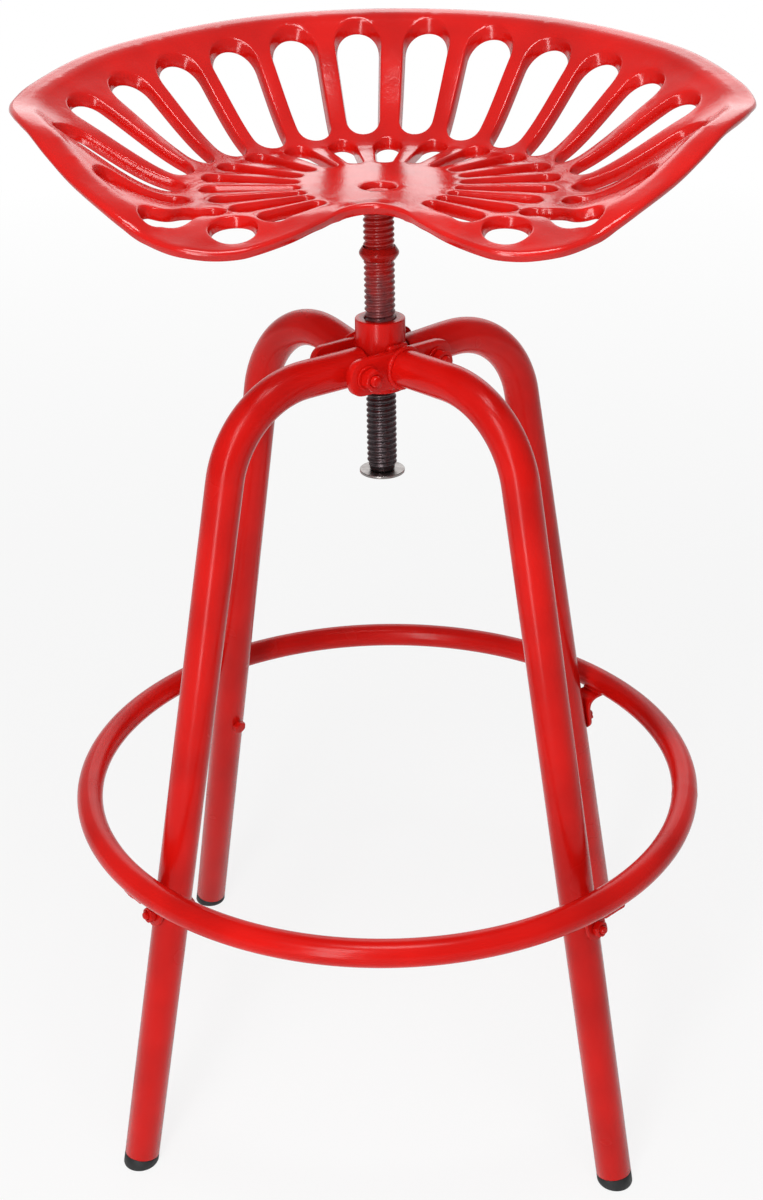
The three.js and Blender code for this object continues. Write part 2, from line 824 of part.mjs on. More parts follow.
function seatPan() {
  let pan = seatSlab();
  for (const { shape, angle } of [...outerSlots(), ...innerSlots()]) {
    for (const side of angle > 0 ? [-1, 1] : [1]) {
      pan = pan.subtract(slotCutter(shape, angle, side));
    }
  }
  const lobe_hole_across = lobe_hole_across_share * seat_half_width;
  const lobe_hole_back = -lobe_hole_forward_share * seat_half_width;
  const holes = [
    [0, 0, seat_centre_hole_diameter],
    [-lobe_hole_across, lobe_hole_back, lobe_hole_diameter],
    [lobe_hole_across, lobe_hole_back, lobe_hole_diameter],
  ];
  for (const [x, y, diameter] of holes) {
    const bottom = new THREE.Vector3(x, y, cut_bottom);
    const top = new THREE.Vector3(x, y, cut_top);
    pan = pan.subtract(rod(diameter / 2, bottom, top, lobe_hole_sides));
  }
  return pan;
}

const stool = new THREE.Group();
stool.name = 'tractor_seat_stool';

// The frame of the clamped leg line: X along it toward the back right
const cross_frame = new THREE.Group();
cross_frame.rotation.z = leg_angle + base_turn;
stool.add(cross_frame);
cross_frame.add(piece('strap_front', strap(-1), red_enamel()));
cross_frame.add(piece('strap_rear', strap(1), red_enamel()));
for (const [end, place] of [[-1, 'front_left'], [1, 'back_right']]) {
  cross_frame.add(piece(`leg_bush_${place}`, legBush(end), red_enamel()));
  cross_frame.add(piece(`hub_bolt_${place}`, hubBolt(end), red_enamel()));
  cross_frame.add(piece(`hub_washer_${place}`, hubWasher(end), red_enamel()));
  cross_frame.add(piece(`hub_nut_${place}`, hubNut(end), red_enamel()));
}
stool.add(piece('hub_tube', hubTube(), red_enamel()));

const legs = [
  ['front_left', Math.PI + leg_angle, clampedLeg],
  ['front_right', -leg_angle, weldedLeg],
  ['back_left', Math.PI - leg_angle, weldedLeg],
  ['back_right', leg_angle, clampedLeg],
];
for (const [place, azimuth, makeLeg] of legs) {
  const leg_frame = new THREE.Group();
  leg_frame.rotation.z = azimuth + base_turn;
  stool.add(leg_frame);
  leg_frame.add(piece(`leg_${place}`, makeLeg(), red_enamel()));
  leg_frame.add(piece(`foot_cap_${place}`, footCap(), black_rubber()));
  leg_frame.add(piece(`ring_tab_${place}`, ringTab(), red_enamel()));
  leg_frame.add(piece(`ring_bolt_${place}`, ringBolt(), red_enamel()));
  leg_frame.add(piece(`ring_nut_${place}`, ringNut(), red_enamel()));
}
stool.add(piece('foot_ring', footRing(), red_enamel()));

stool.add(piece('jack_screw', jackScrew(), dark_steel()));
stool.add(piece('stop_collar', stopCollar(), red_enamel()));
stool.add(piece('seat_collar', seatCollar(), red_enamel()));
stool.add(piece('end_disc', endDisc(), bright_zinc()));
stool.add(piece('end_screw', endScrew(), bright_zinc()));
stool.add(piece('seat', seatPan(), red_enamel()));

export default stool;
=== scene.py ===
"""Tractor seat stool: finished surfaces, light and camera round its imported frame. Metres, +Z up, front -Y."""
from collections import namedtuple
from math import acos, asin, cos, exp, pi, radians, sin, sqrt, tan

import bmesh
import bpy
import numpy as np
from bpy.props import FloatProperty, FloatVectorProperty, PointerProperty
from mathutils import Matrix, Vector, noise
from mathutils.geometry import delaunay_2d_cdt


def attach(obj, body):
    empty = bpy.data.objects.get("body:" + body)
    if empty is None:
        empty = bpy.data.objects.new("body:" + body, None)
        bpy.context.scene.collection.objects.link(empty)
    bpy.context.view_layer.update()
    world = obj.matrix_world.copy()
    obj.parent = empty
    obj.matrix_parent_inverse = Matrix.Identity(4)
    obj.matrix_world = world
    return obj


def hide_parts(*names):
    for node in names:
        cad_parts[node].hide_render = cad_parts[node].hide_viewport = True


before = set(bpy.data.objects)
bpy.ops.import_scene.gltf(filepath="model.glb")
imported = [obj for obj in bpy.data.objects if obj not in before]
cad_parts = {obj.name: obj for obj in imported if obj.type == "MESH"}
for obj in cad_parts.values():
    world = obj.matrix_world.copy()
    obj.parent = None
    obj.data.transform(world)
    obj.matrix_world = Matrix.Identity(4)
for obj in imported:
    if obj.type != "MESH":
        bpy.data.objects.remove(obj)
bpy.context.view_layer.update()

bl_info = {
    "name": "Tractor seat stool",
    "version": (1, 0, 0),
    "blender": (4, 5, 0),
    "location": "View3D > Sidebar > Stool",
    "description": "Makes the finished pieces, light and camera of a tractor seat stool around its frame",
    "category": "Object",
}

MM = 0.001
TURN = 2 * pi

# Base: four legs of bent tube, clamped or welded to two straps that hold the hub
GAP = 0.3 * MM
LEG_RADIUS = 12.7 * MM
LEG_WALL = 1.6 * MM
LEG_RUN_HEIGHT = 570 * MM
LEG_FOOT_REACH = 240 * MM
LEG_CORNER_REACH = 120.3 * MM
LEG_BEND_RADIUS = 68 * MM
LEG_ANGLE = radians(43.1)
BASE_TURN = radians(-0.8)
LEG_TURNS = {
    "front_left": pi + LEG_ANGLE + BASE_TURN,
    "front_right": -LEG_ANGLE + BASE_TURN,
    "back_left": pi - LEG_ANGLE + BASE_TURN,
    "back_right": LEG_ANGLE + BASE_TURN,
}
CLAMPED_LEGS = {"front_left": -1, "back_right": 1}
# How far a leg's bend was pulled up over the level of its run when it was bent
BEND_RISES = {"front_left": 0.5 * MM, "front_right": 0.0, "back_left": 7 * MM, "back_right": 2 * MM}
CAP_HEIGHT = 7.5 * MM
CAP_STEM = 18 * MM
HUB_RADIUS = 17 * MM
HUB_BOTTOM = 551 * MM
HUB_TOP = 600 * MM
HUB_BORE_RADIUS = 10.8 * MM
STRAP_LENGTH = 87 * MM
STRAP_DEPTH = 25 * MM
STRAP_THICKNESS = 6 * MM
STRAP_CORNER = 14.4 * MM
STRAP_BACK = HUB_RADIUS + GAP
STRAP_FACE = STRAP_BACK + STRAP_THICKNESS
STRAP_SKEW = pi / 2 - 2 * LEG_ANGLE

# Fasteners: a bolt's and nut's width across flats, the shank, the head, the end past the nut, and the nut
Bolt = namedtuple("Bolt", "flats radius head tail nut")
HUB_BOLT = Bolt(flats=13 * MM, radius=4 * MM, head=5.3 * MM, tail=3 * MM, nut=6.5 * MM)
RING_BOLT = Bolt(flats=10 * MM, radius=3 * MM, head=4 * MM, tail=2.5 * MM, nut=5 * MM)
HUB_BOLT_REACH = 30.5 * MM
HUB_WASHER_RADIUS = 8.5 * MM
HUB_WASHER_THICKNESS = 1.6 * MM
RING_BOLT_HEIGHT = 207.5 * MM
NUT_CLEARANCE = 0.2 * MM
# A hexagon's chamfer: its height, and how far the corners are cut back half way up it and at the end
HEX_CHAMFER = 0.9 * MM
HEX_CUTS = (0.45 * MM, 1.3 * MM)
HEX_COUNT = 72

# Foot ring and its tabs
RING_HEIGHT = 243.2 * MM
RING_RADIUS = 223.4 * MM
RING_TUBE_RADIUS = 9.5 * MM
RING_SEAM_ANGLE = radians(-6.5)
RING_SEAM_RIDGE = 0.28 * MM
RING_SEAM_WIDTH = 1.6 * MM
TAB_WIDTH = 18 * MM
TAB_THICKNESS = 3 * MM
TAB_DROP = 18 * MM
TAB_BEND_RADIUS = 12 * MM
TAB_OVERLAP = 3 * MM

# Jack screw and what is fixed on it
SCREW_RADIUS = 10.4 * MM
SCREW_BOTTOM = 491 * MM
SCREW_NECK_RADIUS = 8.75 * MM
SCREW_NECK_LENGTH = 2.5 * MM
SCREW_RECESS = 4 * MM
# The thread's depth dies out over these lengths at its foot and at its top
RUNOUT_FOOT = 3 * MM
RUNOUT_TOP = 1.5 * MM
STOP_RADIUS = 13.35 * MM
STOP_BOTTOM = 640 * MM
STOP_LENGTH = 8.5 * MM
STOP_SHOULDER = 2.2 * MM
# Within this reach of the screw's axis the enamel is darkened as painted shade on the stop collar and the hub's
# bore, and on the thread the red is a mist between two heights
PAINTED_SHADE_REACH = 14.6 * MM
MIST_HEIGHTS = (582 * MM, 640 * MM)
SEAT_COLLAR_RADIUS = 17 * MM
SEAT_COLLAR_THICKNESS = 5.6 * MM
DISC_RADIUS = 15.75 * MM
DISC_THICKNESS = 2 * MM
END_SCREW_RADIUS = 3 * MM
END_SCREW_LENGTH = 14 * MM
END_HOLE_DEPTH = 16 * MM
END_HEAD_RADIUS = 6 * MM
END_HEAD_HEIGHT = 4 * MM
END_SOCKET = 4 * MM
# The end screw's round head: its radius and height as shares
END_HEAD_SHARES = [(0.62, 0.02), (0.85, 0.12), (0.97, 0.35), (1.0, 0.6), (1.0, 1.0)]

# Welds: the beads' radii, and how far a bead reaches and lies off the corner that it fills
BEAD = 1.7 * MM
LEG_BEAD_LIFT = 0.7 * MM
STRAP_BEAD = 2.1 * MM
STRAP_BEAD_HALF = 8.5 * MM
STRAP_BEAD_OFF = 1.4 * MM
HUB_BEAD_REACH = 7.5 * MM
HUB_BEAD_OFF = 1.1 * MM
TAB_BEAD_HALF = 9 * MM
TAB_BEAD_REACH = 4 * MM
BEAD_STEP = 0.55 * MM
BEAD_RIPPLE = 2.2 * MM
BEAD_LUMPS = (14.6 * MM, 11 * MM)
# The weld over the screw's end: its profile in millimetres, as radii and rises over that end
END_WELD = [(0.5, 0.1), (5, 0.3), (8, 0.9), (9.4, 0.4), (9.2, -0.2), (0.5, -0.2)]

# Seat: the pan's rim from the back round to the notch, across, back and rise, each as a share
PAN_HEIGHT = 688 * MM
RIM_SHARES = [
    (0, 0.929, 1), (0.467, 0.809, 0.97), (0.84, 0.485, 0.854), (0.979, 0.209, 0.709), (0.998, 0.111, 0.658),
    (0.995, 0.05, 0.64), (0.958, -0.054, 0.627), (0.9, -0.149, 0.57), (0.838, -0.227, 0.437),
    (0.768, -0.297, 0.291), (0.675, -0.384, 0.146), (0.6255, -0.417, 0.063), (0.572, -0.438, -0.032),
    (0.52, -0.4666, -0.082), (0.471, -0.487, -0.108), (0.396, -0.491, -0.135), (0.33, -0.483, -0.133),
    (0.289, -0.469, -0.118), (0.186, -0.392, -0.063), (0.12, -0.3055, -0.025), (0.0805, -0.256, 0.006),
    (0, -0.223, 0.025),
]
# Where the pan starts to rise, by the angle from the back and the reach as a share
DISH_START_ANGLES = [0, 50, 78, 92, 108, 123]
DISH_START_SHARES = [0.4666, 0.5, 0.452, 0.541, 0.535, 0.482]
DISH_LIMIT_SHARE = 0.63
# A flatter border inside the raised part of the rim, with a low step at its inner side
BORDER_WIDTH = 17 * MM
BORDER_STEP = 2.4 * MM
BORDER_FOOT = 6 * MM
# Slow unevenness of the cast face: waves to a metre, and their depth
CAST_WAVES = 22
CAST_WAVE_DEPTH = 0.25 * MM
# Spacing of the points along the rim, the outer slots and the inner slots, and least gap to a border row
RIM_SPACING = 2.4 * MM
SLOT_SPACING = 2 * MM
INNER_SPACING = 1.5 * MM
ROW_GAP = 1.1 * MM
# Outer slots: angle from the back, inner and outer reach as shares, inner and outer width
OUTER_SLOTS = [
    (7.6, 0.553, 0.846, 22.5 * MM, 32 * MM),
    (22, 0.547, 0.842, 23 * MM, 33 * MM),
    (36.2, 0.545, 0.842, 23 * MM, 33.5 * MM),
    (50.1, 0.543, 0.846, 22.5 * MM, 33 * MM),
    (64, 0.543, 0.855, 22 * MM, 32 * MM),
    (77.7, 0.534, 0.877, 22.5 * MM, 28 * MM),
    (90.8, 0.522, 0.86, 23 * MM, 31 * MM),
    (106.4, 0.512, 0.747, 21 * MM, 26 * MM),
]
WAVY_SLOT = (123.4, 0.46, 0.687, 17 * MM, 17.5 * MM)
WAVY_SWAY = 3.5 * MM
INNER_PITCH = radians(15.65)
INNER_SHARES = [0.289, 0.289, 0.277, 0.264, 0.248, 0.227, 0.211, 0.204, 0.204, 0.215]
INNER_RING_SHARE = 0.487
INNER_OFFSET_SHARE = 0.07
INNER_LIMIT_SHARE = 0.5285
INNER_WIDTHS = (9.5 * MM, 18 * MM)
CENTRE_HOLE_RADIUS = 11 * MM
LOBE_HOLE_RADIUS = 14.3 * MM
LOBE_HOLE_SHARES = (0.343, -0.378)


def smooth(share):
    """A share that eases out of 0 and into 1"""
    return share * share * (3 - 2 * share)


def linear(hex_colour):
    """A colour written as six sRGB hex digits, in the linear values that shaders take"""
    channels = [int(hex_colour[i:i + 2], 16) / 255 for i in (0, 2, 4)]
    return [c / 12.92 if c <= 0.04045 else ((c + 0.055) / 1.055) ** 2.4 for c in channels]


def colour_field(name, description, hex_colour):
    value = linear(hex_colour)
    return FloatVectorProperty(name=name, description=description, subtype="COLOR", default=value)


def number_field(name, description, default, **kind):
    return FloatProperty(name=name, description=description, default=default, **kind)


def length_field(name, description, metres):
    return number_field(name, description, metres, unit="LENGTH", precision=5)


def angle_field(name, description, degrees):
    return number_field(name, description, radians(degrees), subtype="ANGLE")


def power_field(name, description, watts):
    return number_field(name, description, watts, subtype="POWER")


class StoolFinish(bpy.types.PropertyGroup):
    red: colour_field("Red", "Gloss enamel on the steel and the casting", "D4140E")
    red_deep: colour_field("Deep red", "The enamel where it lies thicker", "BC0F0A")
    steel: colour_field("Thread steel", "Oiled steel of the jack screw", "655A5D")
    steel_dark: colour_field("Dark thread steel", "The same steel where oil and dirt lie thicker", "2C2526")
    # This colour is the real red mist on the thread, and also painted shade on the enamel near the screw's axis
    overspray_and_painted_shade: colour_field("Overspray", "Red mist on the upper thread, and the thin coat beside it", "9C120D")
    zinc: colour_field("Zinc", "Bright plate of the end disc and its screw", "8C8785")
    rubber: colour_field("Rubber", "Moulded foot caps", "17181A")
    pebble: length_field("Pebble size", "Grain of the as-cast surface under the enamel", 1.7 * MM)
    pebble_depth: length_field("Pebble depth", "Height of that grain", 0.08 * MM)
    peel: length_field("Orange peel size", "Ripple of the sprayed coat on the tubes", 9 * MM)


class StoolSeat(bpy.types.PropertyGroup):
    half_width: length_field("Half width", "From the screw to the tip of a wing", 242.1 * MM)
    thickness: length_field("Thickness", "Wall of the casting", 7.5 * MM)
    rim_rise: length_field("Rim rise", "From the pan up to the middle of the back rim", 79 * MM)
    rim_round: length_field("Rim rounding", "Radius along the rim's upper edge", 3 * MM)
    edge_round: length_field("Edge rounding", "Radius round the slots' upper edges", 1.5 * MM)
    under_round: length_field("Lower rounding", "Radius along the lower edges", 1 * MM)
    slot_draft: length_field("Slot draft", "How much a slot narrows on each side toward its underside", 1.6 * MM)
    rim_draft: length_field("Rim draft", "How far the rim's underside lies in from its upper edge", 3 * MM)
    grid: length_field("Grid", "Spacing of the mesh between the slots", 5 * MM)


class StoolThread(bpy.types.PropertyGroup):
    pitch: length_field("Pitch", "Rise of the thread in one turn", 4 * MM)
    depth: length_field("Depth", "From crest to root", 1.4 * MM)


class StoolStage(bpy.types.PropertyGroup):
    lens: number_field("Lens", "Focal length for a 36 mm long side", 53.63)
    distance: length_field("Distance", "From the camera to its aim on the screw's axis", 1335.29 * MM)
    aim_height: length_field("Aim height", "Height of that aim over the floor", 300 * MM)
    orbit: angle_field("Orbit", "Camera's place round the stool to the right", 3.6)
    pan: angle_field("Pan", "Turn of the view to the left of the stool's axis", 0.1)
    elevation: angle_field("Elevation", "Camera's rise over the aim", 29.79)
    pitch: angle_field("Pitch", "Tilt of the view below level", 26.41)
    roll: angle_field("Roll", "Turn of the view about its own axis", -0.91)
    back_light: power_field("Back light", "Wide panel behind the seat", 11.5)
    key_light: power_field("Key light", "Panel at the front left, over the camera", 6)
    streak_light: power_field("Streak light", "Tall narrow panel that draws a streak down the legs", 12)
    top_light: power_field("Top light", "Panel overhead, in front of the seat", 9)
    room: number_field("Room", "Strength of the light from all round", 0.34)
    room_front: number_field("Room in front", "How bright gloss sees the room on the camera's side", 0.12)


# Materials

def add_node(tree, kind, settings=None, links=None):
    """Adds a node, sets its fields or unlinked inputs, and links sockets into its other inputs"""
    node = tree.nodes.new(kind)
    for key, value in (settings or {}).items():
        if isinstance(key, str) and hasattr(node, key):
            setattr(node, key, value)
        else:
            node.inputs[key].default_value = value
    for key, socket in (links or {}).items():
        tree.links.new(socket, node.inputs[key])
    return node


def new_material(name):
    material = bpy.data.materials.new(name)
    material.use_nodes = True
    tree = material.node_tree
    tree.nodes.clear()
    place = add_node(tree, "ShaderNodeTexCoord").outputs["Object"]
    return material, tree, place


def noise_of(tree, place, size, detail=2.0, roughness=0.5):
    """Noise whose grains are about size metres across"""
    settings = {"Scale": 1 / size, "Detail": detail, "Roughness": roughness}
    return add_node(tree, "ShaderNodeTexNoise", settings, {"Vector": place}).outputs["Fac"]


def blend_of(tree, share, first, second):
    """A colour between two, each a socket or a plain colour, by a share that a texture gives"""
    node = add_node(tree, "ShaderNodeMix", {"data_type": "RGBA"})
    for socket, value in ((node.inputs[6], first), (node.inputs[7], second)):
        if isinstance(value, bpy.types.NodeSocket):
            tree.links.new(value, socket)
        else:
            socket.default_value = (*value, 1)
    tree.links.new(share, node.inputs[0])
    return node.outputs[2]


def spread(tree, value, low, high, to_low=0.0, to_high=1.0):
    settings = {"From Min": low, "From Max": high, "To Min": to_low, "To Max": to_high}
    return add_node(tree, "ShaderNodeMapRange", settings, {"Value": value}).outputs["Result"]


def patches(tree, place, size, to_low=0.0, to_high=1.0, low=0.3, high=0.7, detail=2.0):
    """A value that drifts between two limits in patches about size metres across"""
    return spread(tree, noise_of(tree, place, size, detail), low, high, to_low, to_high)


def bumps(tree, place, size, depth, detail=2.0, roughness=0.5, under=None):
    """The surface's direction over noise of a size and depth, which may lie on other bumps"""
    links = {"Height": noise_of(tree, place, size, detail, roughness)}
    if under:
        links["Normal"] = under
    return add_node(tree, "ShaderNodeBump", {"Strength": 1.0, "Distance": depth}, links).outputs["Normal"]


def combined(tree, operation, first, second):
    return add_node(tree, "ShaderNodeMath", {"operation": operation}, {0: first, 1: second}).outputs[0]


def finished(material, settings, links):
    """Ends a material in its shader, with the uniform values set and the rest linked"""
    tree = material.node_tree
    shader = add_node(tree, "ShaderNodeBsdfPrincipled", settings, links)
    add_node(tree, "ShaderNodeOutputMaterial", None, {"Surface": shader.outputs["BSDF"]})
    return material


def enamel_on_tube(finish):
    """Sprayed and baked gloss enamel on steel: even red, a sharp sheen, a faint ripple from spraying.

    Within a reach of the screw's axis the red is darkened as painted shade, on the stop collar and the hub's bore"""
    material, tree, place = new_material("sprayed_gloss_enamel_on_steel")
    cloud = patches(tree, place, 60 * MM, low=0.35)
    coat = blend_of(tree, cloud, finish.red, finish.red_deep)
    # Painted shade: within a reach of the screw's axis the red gives way to the darker overspray colour, which
    # darkens the stop collar and the hub's bore
    flat = {"operation": "MULTIPLY", 1: (1, 1, 0)}
    plan = add_node(tree, "ShaderNodeVectorMath", flat, {0: place}).outputs["Vector"]
    reach = add_node(tree, "ShaderNodeVectorMath", {"operation": "LENGTH"}, {0: plan}).outputs["Value"]
    unshaded = spread(tree, reach, PAINTED_SHADE_REACH - MM, PAINTED_SHADE_REACH)
    base = blend_of(tree, unshaded, finish.overspray_and_painted_shade, coat)
    ripple = bumps(tree, place, finish.peel, 0.02 * MM, 1.0)
    sheen = patches(tree, place, 25 * MM, 0.18, 0.28)
    gloss = {"IOR": 1.45, "Specular IOR Level": 0.2}
    return finished(material, gloss, {"Base Color": base, "Normal": ripple, "Roughness": sheen})


def enamel_on_casting(finish):
    """The same enamel poured over sand-cast iron: the sand's grain and shallow swirls show through the gloss"""
    material, tree, place = new_material("gloss_enamel_on_sand_cast_iron")
    cloud = patches(tree, place, 45 * MM, low=0.35, high=0.75)
    base = blend_of(tree, cloud, finish.red, finish.red_deep)
    swirl = bumps(tree, place, 14 * MM, 0.3 * MM, 3.0)
    pebbles = bumps(tree, place, finish.pebble, finish.pebble_depth, 2.0, 0.55, swirl)
    return finished(material, {"IOR": 1.45, "Roughness": 0.16}, {"Base Color": base, "Normal": pebbles})


def oiled_thread_steel(finish):
    """Turned steel thread, oiled nearly black, with red mist on the length above the hub"""
    material, tree, place = new_material("oiled_turned_steel")
    height = add_node(tree, "ShaderNodeSeparateXYZ", None, {"Vector": place}).outputs["Z"]
    drift = patches(tree, place, 9 * MM, -16 * MM, 16 * MM, detail=3.0)
    mist = spread(tree, combined(tree, "ADD", height, drift), *MIST_HEIGHTS)
    oil = noise_of(tree, place, 1.5 * MM, 3.0)
    wear = blend_of(tree, oil, finish.steel, finish.steel_dark)
    base = blend_of(tree, mist, wear, finish.overspray_and_painted_shade)
    metal = spread(tree, mist, 0, 0.6, 0.9, 0.0)
    rough = patches(tree, place, 2 * MM, 0.26, 0.42)
    marks = bumps(tree, place, 0.8 * MM, 0.02 * MM, 3.0)
    return finished(material, {}, {"Base Color": base, "Metallic": metal, "Roughness": rough, "Normal": marks})


def zinc_plate(finish):
    """Bright zinc electroplate on pressed steel: clean mirror grey with faint press marks"""
    material, tree, place = new_material("bright_zinc_plated_steel")
    rough = patches(tree, place, 4 * MM, 0.24, 0.4, detail=3.0)
    marks = bumps(tree, place, 1.2 * MM, 0.006 * MM)
    plate = {"Base Color": (*finish.zinc, 1), "Metallic": 1.0}
    return finished(material, plate, {"Roughness": rough, "Normal": marks})


def moulded_rubber(finish):
    """Moulded black rubber: a dull sheen over a fine mould grain"""
    material, tree, place = new_material("moulded_black_rubber")
    rough = patches(tree, place, 5 * MM, 0.5, 0.68)
    grain = bumps(tree, place, 0.7 * MM, 0.04 * MM)
    black = {"Base Color": (*finish.rubber, 1), "IOR": 1.5}
    return finished(material, black, {"Roughness": rough, "Normal": grain})


MAKERS = {
    "red_enamel": enamel_on_tube,
    "enamelled_casting": enamel_on_casting,
    "dark_steel": oiled_thread_steel,
    "bright_zinc": zinc_plate,
    "black_rubber": moulded_rubber,
}
FINISHES = {}


def finish_for(slot):
    """The material of one of the record's slots, made once"""
    if slot not in FINISHES:
        FINISHES[slot] = MAKERS[slot](bpy.context.scene.stool_finish)
    return FINISHES[slot]


# Meshes

def placed(skin, matrix):
    """A skin moved from its own frame to the stool's"""
    turn = np.array(matrix.to_3x3())
    return np.asarray(skin[0], float) @ turn.T + np.array(matrix.translation), skin[1]


def piece(name, skins, nodes=(), sharp=40, slot="red_enamel", body="base", home=Matrix()):
    """One object from closed skins in a home frame, each a pair of vertices and faces, riding on a body.

    It stands for the CAD nodes named, and its edges are sharp over so many degrees"""
    verts, faces = [], []
    for skin_verts, skin_faces in skins:
        faces += [tuple(len(verts) + i for i in face) for face in skin_faces]
        verts += placed((skin_verts, ()), home)[0].tolist()
    mesh = bpy.data.meshes.new(name)
    mesh.from_pydata(verts, [], faces)
    build = bmesh.new()
    build.from_mesh(mesh)
    bmesh.ops.recalc_face_normals(build, faces=build.faces)
    build.to_mesh(mesh)
    build.free()
    mesh.shade_smooth()
    mesh.set_sharp_from_angle(angle=radians(sharp))
    mesh.materials.append(finish_for(slot))
    made = bpy.data.objects.new(name, mesh)
    bpy.context.scene.collection.objects.link(made)
    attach(made, body)
    if nodes:
        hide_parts(*nodes)


def welded(name, skins, **rest):
    """Weld beads as a piece that stands for no CAD node"""
    piece(name, skins, sharp=80, **rest)


def along(origin, direction, spin_to=(0, 0, 1)):
    """The frame whose Z points in a direction, with its X as near as it can be to spin_to"""
    z = Vector(direction).normalized()
    x = Vector(spin_to)
    x = (x - x.dot(z) * z).normalized()
    matrix = Matrix((x, z.cross(x), z)).transposed().to_4x4()
    matrix.translation = Vector(origin)
    return matrix


def loft(rings, closed=False):
    """A skin over rings that hold the same number of points, joined end to start if closed, else capped"""
    count = len(rings[0])
    total = len(rings)
    faces = []
    for row in range(total if closed else total - 1):
        near = row * count
        far = (row + 1) % total * count
        faces += [(near + i, near + (i + 1) % count, far + (i + 1) % count, far + i) for i in range(count)]
    if not closed:
        faces += [tuple(range(count)), tuple(range((total - 1) * count, total * count))]
    return np.concatenate(rings), faces


def around(count):
    return np.arange(count) * TURN / count


def circle(count):
    angles = around(count)
    return np.stack([np.cos(angles), np.sin(angles)], 1)


def level_ring(radii, height, count=64):
    """A ring round the Z axis, of one radius or of one for each point"""
    plan = circle(count) * np.reshape(radii, (-1, 1))
    return np.column_stack([plan, np.full(count, height)])


def unit(vector):
    return vector / np.linalg.norm(vector)


def eased(points, radius, steps=4, closed=False):
    """A path of points with its corners rounded, as far as its sides allow"""
    points = [np.array(point, float) for point in points]
    out = [] if closed else [points[0]]
    last = len(points) - 1
    for i in range(len(points)) if closed else range(1, last):
        before, here, after = points[i - 1], points[i], points[(i + 1) % len(points)]
        near = 2.01 if closed or i > 1 else 1.01
        far = 2.01 if closed or i < last - 1 else 1.01
        cut = min(radius, np.linalg.norm(before - here) / near, np.linalg.norm(after - here) / far)
        start = here + unit(before - here) * cut
        stop = here + unit(after - here) * cut
        for step in range(steps + 1):
            t = step / steps
            out.append((1 - t) ** 2 * start + 2 * t * (1 - t) * here + t * t * stop)
    return out if closed else out + [points[-1]]


def turned(profile, radius=0.0, closed=False, count=96):
    """A turned skin from radius and height pairs. A closed profile goes round a bore"""
    path = eased(profile, radius, closed=closed) if radius else profile
    return loft([level_ring(r, h, count) for r, h in path], closed)


def hex_radii(flats, limit):
    """Radii round a hexagon across its flats, cut back to a round limit"""
    away = (around(HEX_COUNT) + pi / 6) % (pi / 3) - pi / 6
    return np.minimum(flats / 2 / np.cos(away), limit)


def sleeve(bore, radius, low, high, edge):
    """A plain ring round a bore, with its edges eased"""
    return turned([(bore, low), (radius, low), (radius, high), (bore, high)], edge, closed=True)


def hexagon(flats, low, high, bore=None, both=True):
    """A hexagon along Z with its corners chamfered at the top, or at both ends, solid or round a bore"""
    corner = flats / sqrt(3)
    spare = 0.35 * MM
    middle = high - HEX_CHAMFER / 2
    ends = [(high - HEX_CHAMFER, corner), (middle, corner - HEX_CUTS[0]), (high, corner - HEX_CUTS[1])]
    start = [(low + high - h, r) for h, r in reversed(ends)] if both else [(low, corner)]
    rings = [(hex_radii(flats, r), h) for h, r in start + ends]
    if bore is None:
        soft = hex_radii(flats - 2 * spare, ends[-1][1] - spare)
        rings += [(soft, high + spare / 3), *((flats * share, high + spare / 2) for share in (0.3, 0.05))]
    else:
        rings += [(bore + spare, high), (bore, high - spare), (bore, low + spare), (bore + spare, low)]
    return loft([level_ring(radii, h, HEX_COUNT) for radii, h in rings], closed=bore is not None)


def shank(radius, low, high):
    """A bolt's shank with a domed end at its low end"""
    edge = radius * 0.35
    return turned([(radius * 0.3, low), (radius * 0.75, low + edge * 0.25), (radius - edge * 0.2, low + edge),
                   (radius, low + 2 * edge), (radius, high), (radius * 0.3, high)], count=40)


def sweep(path, radii, count=24, closed=False, flat=None):
    """A round skin along a path. Its sections keep one side toward the flat direction where one is given"""
    path = [np.array(point, float) for point in path]
    radii = np.broadcast_to(np.asarray(radii, float), (len(path),))
    rings = []
    side = np.array(flat if flat is not None else (0.31, 0.22, 0.93), float)
    for i, here in enumerate(path):
        before = path[i - 1] if closed or i else here
        after = path[(i + 1) % len(path)] if closed or i + 1 < len(path) else here
        ahead = unit(after - before)
        side = unit(side - side.dot(ahead) * ahead)
        other = np.cross(ahead, side)
        plan = circle(count) * radii[i]
        rings.append(here + plan[:, :1] * side + plan[:, 1:] * other)
    return loft(rings, closed)


def bead(path, radius, seed=0, closed=False):
    """A weld bead: a rippled, lumpy round skin that tapers to nothing at its two ends, if it has ends"""
    path = [np.array(point, float) for point in path]
    travel = np.concatenate([[0], np.cumsum([np.linalg.norm(b - a) for a, b in zip(path, path[1:])])])
    steps = max(int(travel[-1] / BEAD_STEP), 8)
    wanted = np.linspace(0, travel[-1], steps, endpoint=not closed)
    fine = np.stack([np.interp(wanted, travel, [p[axis] for p in path]) for axis in range(3)], 1)
    lumps = np.sin(wanted / BEAD_LUMPS[0] * TURN + seed) * np.cos(wanted / BEAD_LUMPS[1] + 2 * seed)
    radii = radius * (1 + 0.06 * np.sin(wanted / BEAD_RIPPLE * TURN) + 0.2 * lumps)
    if not closed:
        reach = np.minimum(wanted, travel[-1] - wanted) / radius
        radii *= np.sqrt(np.clip(1 - (1 - np.clip(reach, 0, 1)) ** 2, 0.02, 1))
    return sweep(fine, radii, 14, closed)


# Legs

